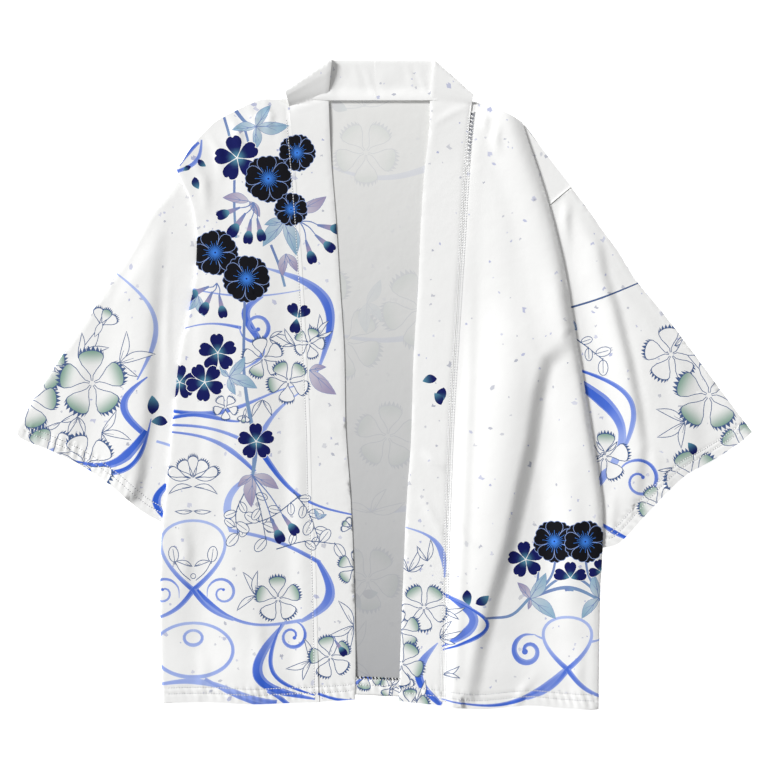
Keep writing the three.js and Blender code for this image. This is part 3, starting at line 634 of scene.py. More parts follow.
class CollarBand(Surface):
    """Half of the band: up the front, folded under on a slant beside the neck, then along the back's neck."""

    def __init__(self, side, seam, free, fold, creases, crown, cloth):
        self.side, self.creases, self.crown, self.cloth = side, creases, crown, cloth
        self.seam = offset(sampled(seam, 90), side * SEAM_GAP)
        self.free = sampled(free, 90)
        self.seam_ends, self.free_ends, self.levels = map(np.array, zip(*self.neck_sections(fold)))
        self.reach = reach_along(np.c_[(self.seam_ends + self.free_ends) / 2, self.levels])

    def neck_sections(self, fold):
        """(seam end, free end, level) across the band, from the top of the front part to the centre back."""
        lower = BAND / 2
        upper = lower + BAND_TURN * 2
        crown_out, crown_in = np.asarray(fold, float)
        along = (crown_in - crown_out) / np.linalg.norm(crown_in - crown_out)
        outward = np.array([self.side * along[1], -self.side * along[0]])
        inset = BAND_TURN + BAND / 2
        centre_out, centre_in = crown_out - outward * inset, crown_in - outward * inset
        sections = []
        for t in (0, 0.35, 0.7):
            seam_end = self.seam[-1] + (centre_out - self.seam[-1]) * t
            free_end = self.free[-1] + (centre_in - self.free[-1]) * t
            sections.append((seam_end, free_end, upper + self.crown * t * 1.25))
        for turn in np.linspace(0, math.pi, TURN_STEPS):
            move = outward * BAND_TURN * math.sin(turn)
            rise = BAND_TURN + max(math.cos(turn), 0) * self.crown
            sections.append((centre_out + move, centre_in + move, lower + rise + BAND_TURN * math.cos(turn)))
        seam_y = NECK_Y + GAP
        end = CENTRE_BACK_X + self.side * 0.05
        beside_out, beside_in = crown_out[0] * 0.55, crown_in[0] * 0.92
        corner = np.array([crown_out[0] - (crown_out[0] - beside_out) * 0.35, seam_y + 1.5])
        sections.append((corner, (centre_in + (beside_in, BAND_TOP_Y)) / 2, lower))
        for t in (0, 0.35, 0.7, 1):
            seam_end = np.array([beside_out + (end - beside_out) * t, seam_y])
            free_end = np.array([beside_in + (end - beside_in) * t, BAND_TOP_Y])
            sections.append((seam_end, free_end, lower))
        return sections

    def outline(self):
        up = np.array([0, self.reach[-1]])
        rows = np.linspace(0, 1, 40)[1:, None]
        across = np.linspace(0, 1, 22)[1:-1, None]
        top = self.seam[-1] * (1 - across) + self.free[-1] * across + up
        hem = self.free[0] * (1 - across) + self.seam[0] * across
        seam_side, free_side = self.seam[-1] + up * rows, (self.free[-1] + up * rows)[::-1]
        return np.vstack([self.seam, seam_side, top, free_side, self.free[::-1], hem])

    def share_across(self, x, y):
        """How far across the band a place is, from 0 at its seam to 1 at its free edge."""
        seam_x = np.interp(y, self.seam[:, 1], self.seam[:, 0])
        free_x = np.interp(y, self.free[:, 1], self.free[:, 0])
        return np.clip((x - seam_x) / (free_x - seam_x), 0, 1)

    def wall(self, x, y):
        """The band's wall, thinned to a round at its free edge."""
        from_free = (1 - self.share_across(x, y)) * BAND_WIDTH
        half = self.cloth / 2
        return self.cloth * np.sqrt(np.clip(1 - (1 - np.clip(from_free / half, 0, 1)) ** 2, 0.04, 1))

    def front_level(self, x, y, w, past):
        """The band's level where it runs up the front."""
        upper = BAND / 2 + BAND_TURN * 2
        level = BAND_LEVEL + smooth(255, 312, y) * (upper - BAND_LEVEL) + hem_lift(y) * CLOTH
        level -= 0.95 * w**1.5 * (1 - smooth(230, 300, y))
        edges = smooth(0, 0.15, w) * smooth(0, 0.1, 1 - w)
        level += (crease_height(self.creases, x, y) + ripple(x, y, 7) * 0.4) * edges * (past < 0)
        from_hem = y - self.seam[0, 1] * (1 - w) - self.free[0, 1] * w
        level += (dented(from_hem, HEM_ROWS) + puckered(x, from_hem, 5 + self.side)) * smooth(0, 0.06, 1 - w)
        if self.side > 0:
            level += dented(np.abs(beside(self.seam, x, y)[0]), (BAND_ROW,))
        return level

    def place(self, x, y):
        w = self.share_across(x, y)
        past = y - (self.seam[-1, 1] * (1 - w) + self.free[-1, 1] * w)
        s = np.clip(past, 0, self.reach[-1])
        out = [np.interp(s, self.reach, self.seam_ends[:, k]) for k in (0, 1)]
        free = [np.interp(s, self.reach, self.free_ends[:, k]) for k in (0, 1)]
        high = np.interp(s, self.reach, self.levels)
        flat = past <= 0
        px = np.where(flat, x, out[0] * (1 - w) + free[0] * w)
        py = np.where(flat, y, out[1] * (1 - w) + free[1] * w)
        # Along the neck the seam's edge stands up from the back and lies a little over it.
        turned = self.reach[TURN_STEPS + 2]
        neck = smooth(turned + 4, turned + 24, s)
        py -= 2.0 * (1 - w) * neck
        crumple = 0.2 * np.sin(px * 0.3 + 2.2 * np.sin(px * 0.11 + 4 * w)) * np.sin(w * math.pi)
        high += neck * (2.5 * (1 - smooth(0, 0.35, w)) + crumple)
        if self.side < 0:  # beside the fold the neck part comes down from under the upper layer
            clear = np.abs(self.free[-1, 0]) - np.abs(px)
            high += (past > turned) * 0.5 * self.crown * (1 - smooth(-4, 17, clear)) * np.sqrt(w)
        shift = (BAND / 2 - self.cloth / 2) * (1 - smooth(300, 331, y))
        dip = 0.22 * self.crown * np.exp(-((past / 5) ** 2))
        return np.c_[px, py, np.where(flat, self.front_level(x, y, w, past) + shift, high) - dip]

    def across(self, up, start, end, count):
        """A line across the band, so far above its hem, between two shares of its width."""
        return curve(np.array([self.seam[0], self.free[0]]) + (0, up), np.linspace(start, end, count))

    def sewn(self):
        lines = []
        past = np.arange(0, self.reach[-1], 1.1)
        for w in np.linspace(0.06, 0.94, 9):
            base = self.seam[-1] * (1 - w) + self.free[-1] * w
            lines.append(np.c_[np.full(len(past), base[0]), base[1] + past])
        lines += [offset(sampled(self.free, 160), self.side * inward)[2:-2] for inward in (0.12, 0.4, 0.8)]
        lines += [self.across(up, 0.03, 0.97, 22) for up in NEAR_HEM]
        return lines + (beside_row(self.seam, self.side, BAND_ROW) if self.side > 0 else [])

    def stitched(self):
        rows = [self.across(up, 0.04, 0.96, 12) for up in HEM_ROWS]
        if self.side > 0:
            rows.append(stretch_between(offset(self.seam, BAND_ROW), *ROW_SPAN))
        return rows


# ------------------------------------------------------------------ the print
class Print:
    """Shapes in the order they are printed: each an outline and a paint of one colour or a blend of two."""

    PLAIN, STRAIGHT, ROUND = range(3)
    FAR = 900  # beyond every piece of cloth

    def __init__(self, colours):
        self.ink = {name: np.array(getattr(colours, name)) for name in colours.__annotations__}
        self.outlines, self.first, self.second, self.start, self.end, self.kinds = [], [], [], [], [], []
        self.add(np.array([(-1, -1), (1, -1), (1, 1), (-1, 1)]) * self.FAR, "white")

    def add(self, outline, first, second=None, start=(0, 0), end=(1, 0), kind=PLAIN):
        self.outlines.append(np.asarray(outline, float))
        for inks, given in ((self.first, first), (self.second, first if second is None else second)):
            inks.append(self.ink[given] if isinstance(given, str) else given)
        self.start.append(start)
        self.end.append(end)
        self.kinds.append(kind)

    def along(self, outline, first, second, start, end):
        self.add(outline, first, second, start, end, self.STRAIGHT)

    def around(self, outline, first, second, centre, radius):
        self.add(outline, first, second, centre, (radius, 0), self.ROUND)

    def mixed(self, first, second, share):
        return self.ink[first] * (1 - share) + self.ink[second] * share

    def colours_at(self, shape, x, y):
        """Linear colours at places inside the numbered shapes."""
        start, end = np.array(self.start)[shape], np.array(self.end)[shape]
        kind = np.array(self.kinds)[shape]
        dx, dy = x - start[:, 0], y - start[:, 1]
        way = end - start
        straight = (dx * way[:, 0] + dy * way[:, 1]) / np.maximum((way**2).sum(1), 1e-9)
        outward = np.hypot(dx, dy) / np.maximum(end[:, 0], 1e-6)
        t = np.where(kind == self.STRAIGHT, straight, np.where(kind == self.ROUND, outward, 0))
        t = smooth(0, 1, t)[:, None]
        return np.array(self.first)[shape] * (1 - t) + np.array(self.second)[shape] * t


def placed(points, x, y, turn, size=1.0):
    """Points drawn upwards from 0, 0, turned anticlockwise and moved to x, y."""
    c, s = math.cos(math.radians(turn)), math.sin(math.radians(turn))
    p = np.asarray(points) * size
    return np.c_[x + p[:, 0] * c - p[:, 1] * s, y + p[:, 0] * s + p[:, 1] * c]


def toward(x, y, turn, reach):
    return (x - reach * math.sin(math.radians(turn)), y + reach * math.cos(math.radians(turn)))


def inset(points, distance):
    """A closed outline drawn in on all sides."""
    after, before = np.roll(points, -1, 0), np.roll(points, 1, 0)
    along = after - before
    along /= np.maximum(np.linalg.norm(along, axis=1), 1e-9)[:, None]
    area = (points[:, 0] * after[:, 1] - after[:, 0] * points[:, 1]).sum()
    return points + np.c_[-along[:, 1], along[:, 0]] * distance * np.sign(area)


def stroke(points, widths, count=None):
    """The outline of a line drawn through points, as wide as the widths along it."""
    line = sampled(points, count or max(3, int(length_of(points) / 2.6)))
    half = np.interp(np.linspace(0, 1, len(line)), np.linspace(0, 1, len(widths)), widths)[:, None] / 2
    normal = left_of(line)
    return np.vstack([line + normal * half, (line - normal * half)[::-1]])


def ring_points(x, y, radius, sides=8):
    angle = np.linspace(0, math.tau, sides, endpoint=False)
    return np.c_[x + radius * np.cos(angle), y + radius * np.sin(angle)]


def cherry_petal(length, width, notch):
    """A cherry petal from its base, notched at the tip."""
    side = [
        (0.03, 0.04), (0.13, 0.13), (0.26, 0.28), (0.40, 0.46), (0.49, 0.64), (0.48, 0.80), (0.38, 0.92),
        (0.22, 0.99), (0.10, 0.985),
    ]
    right = np.array(side) * (width, length)
    return np.vstack([right, [0, length - notch], right[::-1] * (-1, 1)])


def pink_petal(length, width):
    """A pink's petal, narrow at its claw: its fringed outline, and the smooth one inside the fringe."""
    side = np.array([(0.045, 0.07), (0.06, 0.20), (0.19, 0.34), (0.38, 0.50), (0.49, 0.68)]) * (width, length)
    share = np.linspace(1, -1, 15)
    across = 0.47 * width * np.sin(1.3 * share) / math.sin(1.3)
    crown = length * (0.82 + 0.14 * np.cos(1.5 * share))
    fringe = np.where(np.arange(15) % 2 == 0, 0.05, -0.08) * length
    outlines = []
    for top in (crown + fringe, crown - 0.075 * length):
        rim = np.c_[across, top]
        outlines.append(np.vstack([side, rim, side[::-1] * (-1, 1)]))
    return outlines


def leaf_outline(length, width, bend=0.0):
    t = np.linspace(0, 1, 10)
    half = 0.5 * width * np.sin(np.pi * t**0.85) ** 0.9
    sway = bend * length * np.sin(np.pi * t) * 0.5
    right = np.c_[sway + half, t * length]
    left = np.c_[sway - half, t * length]
    return np.vstack([right, left[-2:0:-1]])


def single_blossom(art, x, y, size, turn, petals=(0, 1, 2, 3, 4)):
    """A navy cherry blossom: separate petals, teal at the heart, with fine white lines between them."""
    for k in petals:
        art.add(placed(cherry_petal(1.03 * size, 0.78 * size, 0.06 * size), x, y, turn + 72 * k), "white")
    for k in petals:
        outline = placed(cherry_petal(size, 0.72 * size, 0.09 * size), x, y, turn + 72 * k)
        art.around(outline, "heart", "navy", (x, y), 0.5 * size)
    for k in petals:
        end = toward(x, y, turn + 36 + 72 * k, 0.34 * size)
        art.add(stroke([(x, y), end], (0.05 * size, 0.02 * size), 2), "white")


def double_blossom(art, x, y, size, turn):
    """A near-black double cherry blossom, its petals rimmed in pale blue round a burst of bright rays."""
    for reach, width, shift in ((1.0, 0.66, 36), (0.96, 0.82, 0)):
        for k in range(5):
            petal = cherry_petal(reach * size, width * size, 0.06 * size)
            outline = placed(petal, x, y, turn + shift + 72 * k)
            art.add(outline, "rim")
            art.add(inset(outline, 0.6), "ink")
    glow = 0.34 * size
    art.around(ring_points(x, y, glow, 14), art.mixed("stamen", "ink", 0.25), "ink", (x, y), glow)
    for k in range(26):
        reach = (0.50, 0.38, 0.54, 0.34)[k % 4] * size
        end = toward(x, y, turn + 13.85 * k, reach)
        art.add(stroke([toward(x, y, turn + 13.85 * k, 0.06 * size), end], (0.5, 0.42), 1), "stamen")
        art.add(ring_points(*end, 0.4, 4), "stamen")
    art.add(ring_points(x, y, 0.085 * size, 9), "stamen")
    art.add(ring_points(x, y, 0.04 * size, 7), "navy")


def fringed(art, x, y, length, width, turn, shade):
    """One petal of a pink, with a blue fringe and a green blush under it."""
    outer, inner = pink_petal(length, width)
    art.add(placed(outer, x, y, turn), "slate")
    start, end = toward(x, y, turn, 0.40 * length), toward(x, y, turn, 0.92 * length)
    art.along(inset(placed(inner, x, y, turn), 0.85), "white", shade, start, end)


def pink(art, x, y, size, turn, shaded=(0, 1, 2, 3, 4)):
    """An outlined pink: five fringed petals, some of them blushed with green."""
    for k in range(5):
        fringed(art, x, y, size, 0.70 * size, turn + 72 * k, "tint" if k in shaded else "white")


def pink_bud(art, x, y, size, turn):
    """A pink seen from the side: a few fringed petals out of a long calyx."""
    for way in (-34, 34, 0):
        fringed(art, x, y, size, 0.5 * size, turn + way, "white" if way else "tint")
    calyx = placed(leaf_outline(0.8 * size, 0.3 * size), *toward(x, y, turn, 0.25 * size), turn + 180)
    art.add(calyx, "slate")
    art.add(inset(calyx, 0.7), "white")


def blade(art, x, y, length, turn, bend=0.12, width=0.25):
    """A slender outlined leaf with its middle line."""
    outline = placed(leaf_outline(length, width * length, bend), x, y, turn)
    art.add(outline, "slate")
    art.add(inset(outline, 0.85), "white")
    middle = placed([(0, 0), (0.25 * bend * length, 0.4 * length)], x, y, turn)
    art.add(stroke(middle, (0.8, 0.4), 2), "slate")


def blades(art, x, y, leaves):
    for k, (length, turn) in enumerate(leaves):
        blade(art, x, y, length, turn, 0.16 * (-1) ** k)


def oval(art, x, y, turn, length=17.0):
    """A round outlined leaf, split by its middle line."""
    angle = np.linspace(0, math.tau, 14, endpoint=False)
    outline = placed(np.c_[0.32 * length * np.cos(angle), 0.5 * length * (1 + np.sin(angle))], x, y, turn)
    art.add(outline, "slate")
    art.add(inset(outline, 0.85), "white")
    middle = [toward(x, y, turn, -0.1 * length), toward(x, y, turn, 0.82 * length)]
    art.add(stroke(middle, (0.8, 0.6), 2), "slate")


def sprig(art, points, pairs):
    """A curved stem with round leaves on both sides."""
    art.add(stroke(points, (1.3, 0.9)), "slate")
    spots = sampled(points, pairs * 2)
    for k in range(1, len(spots)):
        along = spots[k] - spots[k - 1]
        way = math.degrees(math.atan2(-along[0], along[1]))
        oval(art, *spots[k], way + (54 if k % 2 else -50), 16.5 + 2.4 * math.sin(5 * k))


def leaves(art, x, y, row):
    """Filled leaves from one root, paler at the base, with a vein down the middle."""
    for k, (length, turn, ink) in enumerate(row):
        outline = placed(leaf_outline(length, 0.4 * length, 0.14 * (-1) ** k), x, y, turn)
        art.add(outline, "branch")
        pale = art.mixed(ink, "white", 0.4)
        art.along(inset(outline, 0.4), pale, ink, (x, y), toward(x, y, turn, length))
        art.add(stroke([(x, y), toward(x, y, turn, 0.9 * length)], (0.9, 0.3), 4), "branch")
        for way in (-24, 24):
            root = toward(x, y, turn, 0.3 * length)
            art.add(stroke([root, toward(*root, turn + way, 0.34 * length)], (0.5, 0.25), 2), "branch")


def hanging(art, x, y, buds):
    """Navy buds in mauve cups, on stems from one root."""
    cup = [(-0.06, -0.8), (0.06, -0.8), (0.12, -0.4), (0.19, 0.16), (0, 0.22), (-0.19, 0.16), (-0.12, -0.4)]
    angle = np.linspace(0, math.tau, 16, endpoint=False)
    bud = np.c_[0.25 * np.cos(angle), 0.46 * (1 + np.sin(angle))]
    for bud_x, bud_y, size in buds:
        turn = math.degrees(math.atan2(x - bud_x, bud_y - y))
        neck = toward(bud_x, bud_y, turn, -0.7 * size)
        bow = toward((x + neck[0]) / 2, (y + neck[1]) / 2, turn + 90, 0.12 * size)
        art.add(stroke([(x, y), bow, neck], (1.5, 1.1)), "branch")
        art.along(placed(cup, bud_x, bud_y, turn, size), "branch", "mauve", neck, (bud_x, bud_y))
        tip = toward(bud_x, bud_y, turn, 0.5 * size)
        for way in (11, -9):
            outline = placed(bud, bud_x, bud_y, turn + way, size)
            art.along(outline, "heart", "navy", (bud_x, bud_y), tip)


def loose_petal(art, x, y, size, turn):
    outline = placed(leaf_outline(size, 0.6 * size, 0.15), x, y, turn)
    art.along(outline, "navy", "heart", toward(x, y, turn, 0.25 * size), toward(x, y, turn, 1.15 * size))


def stem(art, points, widths):
    art.along(stroke(points, widths), "branch", art.mixed("branch", "leaf", 0.5), points[0], points[-1])


def stream(art, points, widths, shades=(0.2, 1.0, 0.4)):
    """A water line: a ribbon that swells and thins, deep where shades say, with a deeper core and paler edges
    where broad.
    """
    count = max(14, int(length_of(points) / 3.2))
    line = sampled(points, count)
    share = np.linspace(0, 1, count + 1)
    half = np.interp(share, np.linspace(0, 1, len(widths)), widths)[:, None] / 2
    normal = left_of(line)
    cuts = np.unique(np.linspace(0, count, 8).astype(int))
    for wide, shift, fade in ((1.0, 0.0, 0.35), (0.62, -0.2, 0.0)):
        if not fade and max(widths) < 4:
            continue
        middle = line + normal * half * shift
        over, under = middle + normal * half * wide, middle - normal * half * wide
        for a, b in zip(cuts[:-1], cuts[1:]):
            tones = np.interp(share[[a, b]], np.linspace(0, 1, len(shades)), shades) * (1 - fade)
            inks = [art.mixed("stream_pale", "stream", tone) for tone in tones]
            outline = np.vstack([over[a : b + 1], under[a : b + 1][::-1]])
            art.along(outline, *inks, line[a], line[b])


def wave(art, x, y, length, turn, sway, beats, widths, shades):
    """A water line on a bowed course: its length, which way it runs, how far it sways and its half waves."""
    share = np.linspace(0, 1, 8 * math.ceil(beats) + 1)
    c, s = math.cos(math.radians(turn)), math.sin(math.radians(turn))
    side = sway * np.sin(math.pi * beats * share)
    stream(art, np.c_[x - length * share * s - side * c, y + length * share * c - side * s], widths, shades)


def curl(art, x, y, reach, start, hand, width):
    """A water curl that winds in round x, y from a start angle, ending in a round eye."""
    share = np.linspace(0, 1, 14)
    angle = math.radians(start) + hand * 1.35 * math.tau * share
    radius = reach * (1 - 0.8 * share)
    points = np.c_[x + radius * np.cos(angle), y + radius * np.sin(angle)]
    stream(art, points, (0.15 * width, 0.8 * width, width, 0.7 * width, 0.6 * width), (0.3, 0.9, 0.5, 0.8))
    art.add(ring_points(*points[-1], 0.5 * width, 10), art.mixed("stream_pale", "stream", 0.8))


def fine_line(art, points, widths):
    art.add(stroke(points, widths), "slate")


def mirrored_spray(art, axis):
    """An ornament folded about an upright line: a pink from the side, paired leaves, ovals in the arch."""
    for side in (-1, 1):
        blade(art, axis + 2 * side, -108, 31, -78 * side, 0.2 * side)
        blade(art, axis + side, -118, 29, -108 * side, -0.3 * side, 0.24)
        blade(art, axis + 0.5 * side, -146, 21, -91 * side, 0.1 * side, 0.26)
        oval(art, axis + 21 * side, -205, -8 * side, 19)
        stem_line = [(axis + 3 * side, -226), (axis + 14 * side, -216), (axis + 21 * side, -204)]
        art.add(stroke(stem_line, (0.9, 0.9)), "slate")
        blade(art, axis + side, -210, 20, -72 * side, -0.2 * side, 0.28)
        fringed(art, axis, -108, 27, 15, -38 * side, "white")
        fringed(art, axis + 3 * side, -109, 31, 13, -68 * side, "white")
    fringed(art, axis, -110, 31, 13, 0, "white")
    for radius, ink in ((3.4, "slate"), (2.6, "white")):
        art.add(ring_points(axis, -221, radius, 10), ink)


def water_knot(art, axis, top, loop, foot):
    """Water lines folded about an upright line: a loop, and two legs that spread from its foot."""
    turn = np.linspace(0, math.pi, 18)
    for side in (-1, 1):
        x = axis + side * 0.6 * loop * np.sin(turn) * np.cos(turn / 2)
        stream(art, np.c_[x, top - loop * (1 - np.cos(turn)) / 2], (3, 3.6, 6), (0.0, 0.1, 0.9))
        wave(art, axis, top - loop, foot, -126 * side, -6 * side, 1, (6, 5, 3), (0.9, 0.4))


def water_ring(art, x, y, wide, high, width):
    turn = np.linspace(0, math.tau, 25)
    course = np.c_[x + wide / 2 * np.sin(turn), y + high / 2 * np.cos(turn)]
    stream(art, course, (0.7 * width, width, 0.7 * width), (0.0, 0.4, 0.1, 0.4, 0.0))


def drift(art, outline, density, seed):
    """Small pale petals over a whole piece of cloth."""
    generator = np.random.default_rng(seed)
    low, high = outline.min(0), outline.max(0)
    count = int(density * np.prod(high - low) * 1e-6)
    spots = generator.uniform(low, high, (count, 2))
    inside = within(wound(outline), spots[:, 0], spots[:, 1])
    shapes = (
        [(0, 0), (0.42, 0.5), (0.14, 0.86), (0, 0.66), (-0.2, 0.9), (-0.45, 0.45)],
        [(0, 0), (0.30, 0.4), (0.24, 0.9), (-0.1, 1.0), (-0.30, 0.5)],
        [(-0.4, 0), (0.36, 0.1), (0.5, 0.5), (0, 0.42), (-0.3, 0.7)],
    )
    for (x, y), ok in zip(spots, inside):
        size = generator.choice((2.0, 3.0, 4.4, 6.2), p=(0.36, 0.32, 0.22, 0.10))
        turn, fade, shape = generator.uniform(0, 360), generator.uniform(0.0, 0.6), generator.integers(3)
        ink = art.mixed("drift" if generator.random() < 0.6 else "dust", "white", fade)
        if ok:
            art.add(placed(shapes[shape], x, y, turn, size * 1.25), ink)


def within(outline, x, y):
    """Which places an outline runs round anticlockwise."""
    turns = np.zeros(len(x), int)
    for (ax, ay), (bx, by) in zip(outline, np.roll(outline, -1, 0)):
        left = (bx - ax) * (y - ay) > (x - ax) * (by - ay)
        if by > ay:
            turns += (ay <= y) & (by > y) & left
        elif by < ay:
            turns -= (ay > y) & (by <= y) & ~left
    return turns > 0


# What each part of the print is made of: rows of the arguments that its motif takes after the print itself.
LEFT_AXIS = -219.5  # the upright line that the lower left of the print is folded about
LEFT_FALL = {
    "wave": [
        (-138, 134, 135, -153, 46, 1, (1.4, 7, 12, 8, 2), (0.1, 0.7, 1, 0.2)),
        (-139, 100, 84, 166, -15, 2, (1.5, 10, 8, 5, 1), (0.4, 1, 0.7, 0.3)),
        (-236, 62, 72, -88, 6, 1, (1, 2, 4), (0.6, 0.4, 0.8)),
        (-228, 84, 28, -24, -2, 1, (3, 9, 9), (1, 0.5)),
        (-216, 108, 120, -90, -7, 1, (1.4, 2.4, 1), (0.6, 0.2)),
        (-243, -31, 150, -82, -9, 1.5, (4, 6, 3, 1.4), (1, 0.6, 0.2)),
        (-244, -39, 78, -90, 4, 1.5, (4, 6, 2), (1, 0.6)),
        (-245, -47, 100, -104, 7, 1, (3, 3.4, 5), (0.8, 0.4, 0.6)),
        (-246, -55, 108, -115, 12, 1, (2.4, 3.4, 6, 4), (0.7, 0.4, 0.8)),
        (-94, -8, 76, 138, -6, 1, (1.4, 4, 7), (0.1, 0.5)),
        (-138, -82, 122, -124, -16, 1, (7, 5, 3, 2), (1, 0.8, 0.7)),
        (-152, -104, 70, 160, -15, 1, (2, 7, 9, 4), (0.4, 0.1, 0.2)),
        (-177, -168, 110, -110, 6, 1, (4, 4, 5), (0.2, 0.8)),
        (-76, -204, 72, 164, 24, 1, (5, 12, 4), (0.8, 0.8, 0.3)),
        (-95, -272, 128, 74, 20, 1, (4, 3, 4, 8), (0.3, 0.5, 1)),
        (-262, -346, 140, -95, 8, 1.5, (3, 7, 5, 6), (0.3, 0.1, 0.8)),
        (-206, -339, 92, -112, -4, 1, (4, 5, 6), (0.3, 0.9)),
        (-134, -353, 36, -126, 2, 1, (3, 5, 6), (0.7, 1)), (-76, -356, 43, -102, -2, 1, (3, 4), (0.9, 1)),
        (-112, -272, 96, -160, -52, 1, (2, 9, 12, 8, 2), (0.3, 1, 0.8)),
        (-118, -276, 90, -155, -32, 1, (1.5, 5, 4.4, 1.5), (0.8, 1)),
        (-210, 281, 46, 143, 10, 1, (2, 5, 4), (0.5, 0.8)),
        (-213, 278, 35, 139, -1, 1, (3, 5, 4), (0.8, 1)),
    ],
    "curl": [
        (-147, 66, 20, 180, 1, 5), (-106, -290, 18, 90, -1, 4.4), (LEFT_AXIS + 34, -240, 19, 200, -1, 3.6),
        (LEFT_AXIS - 34, -240, 19, -20, 1, 3.6),
    ],
    "water_knot": [(LEFT_AXIS, -157, 80, 58)],
    "water_ring": [(LEFT_AXIS, -306, 92, 62, 4.6), (LEFT_AXIS, -292, 21, 17, 4.2)],
    "stem": [
        [[(-171, 315), (-159, 301), (-148, 296)], (4.5, 3.2)],
        [[(-184, 307), (-179, 290), (-176, 276)], (3.2, 3)],
        [[(-160, 293), (-156, 276), (-158, 262)], (3, 2.6)],
        [[(-172, 236), (-172, 200), (-170, 168)], (2.8, 3)],
        [[(-130, 160), (-120, 134), (-114, 112)], (3, 3)],
        [[(-160, 100), (-161, 20), (-157, -20), (-148, -66)], (3, 3.4, 5)],
        [[(-147, -66), (-149, -90), (-151, -106)], (5, 5.5, 3)],
    ],
    "sprig": [
        [[(-96, -128), (-132, -154), (-172, -164)], 3], [[(-152, -110), (-142, -146), (-136, -178)], 2],
        [[(-104, -124), (-88, -146), (-76, -176)], 3], [[(-124, -190), (-90, -181), (-56, -184)], 2],
        [[(-160, -124), (-170, -148), (-168, -172)], 2],
    ],
    "blades": [
        (-77, 54, ((27, -6), (24, -36), (20, -68), (18, 30))), (-102, 44, ((28, 62), (24, 32), (16, 95))),
        (-140, -18, ((24, 150), (22, -150))), (-148, -243, ((31, 28), (29, -6), (28, 130))),
        (-84, -318, ((27, 18), (31, 108), (25, 158), (16, -30))),
        (-35, -278, ((34, 32), (32, 112), (29, 172))), (-132, 52, ((16, -120), (18, -60))),
    ],
    "mirrored_spray": [(LEFT_AXIS,)],
    "pink_bud": [(-160, -34, 12, 170), (-36, -166, 15, 60)],
    "pink": [
        (-139, 30, 26, 12, (2,)), (-110, 3, 27, 30, (0, 1, 4)), (-86, 47, 20, -20, (0, 1)),
        (-182, -27, 16, 180, ()), (-122, -247, 29, 2, (0, 1, 4)), (-62, -314, 27, 14, (0, 1, 4)),
        (-34, -212, 22, 60, (0, 1)),
    ],
    "leaves": [
        (-147, 296, ((38, -88, "leaf"), (30, -34, "leaf"), (28, 98, "leaf"), (27, 178, "leaf"))),
        (-155, 210, ((31, 82, "mauve"), (22, 214, "mauve"))), (-98, 199, ((36, -62, "mauve"),)),
        (-115, 187, ((38, 140, "leaf"), (42, -160, "leaf"), (23, 100, "leaf"))),
        (-113, 150, ((27, 172, "mauve"), (25, -148, "mauve"))),
        (-214, 102, ((26, 198, "leaf"), (20, 150, "leaf"))),
        (-178, 8, ((30, -38, "leaf"), (35, -112, "leaf"), (22, -160, "leaf"), (17, 40, "leaf"))),
        (-86, 16, ((42, -132, "mauve"), (20, -80, "mauve"))),
        (-151, -105, ((37, 178, "mauve"), (34, -118, "mauve"), (22, 128, "mauve"))),
        (-76, -156, ((13, 20, "leaf"), (12, -60, "leaf"))),
    ],
    "hanging": [
        (-150, 209, ((-168, 184, 19), (-155, 176, 17), (-143, 178, 16), (-178, 198, 17))),
        (-97, 187, ((-62, 180, 19), (-69, 163, 17), (-86, 153, 17))),
        (-192, 116, ((-214, 106, 18), (-203, 94, 17), (-187, 90, 16))),
        (-152, -104, ((-124, -168, 18), (-109, -161, 17))), (-60, -290, ((-51, -303, 13),)),
    ],
    "loose_petal": [(-218, 238, 15, 200), (-214, 258, 12, 230), (-222, 250, 10, 120)],
    "single_blossom": [
        (-169, 260, 26, 12), (-235, 2, 20, 70), (-191, 36, 22, 4), (-206, 2, 22, 30),
        (-100, 76, 18, 25, (0, 2, 4)), (-147, -66, 21, 2),
    ],
    "double_blossom": [
        (-100, 266, 22, 15), (-107, 201, 20, -8), (-133, 236, 28, 6), (-194, 151, 27, 20),
        (-158, 121, 28, -6),
    ],
}
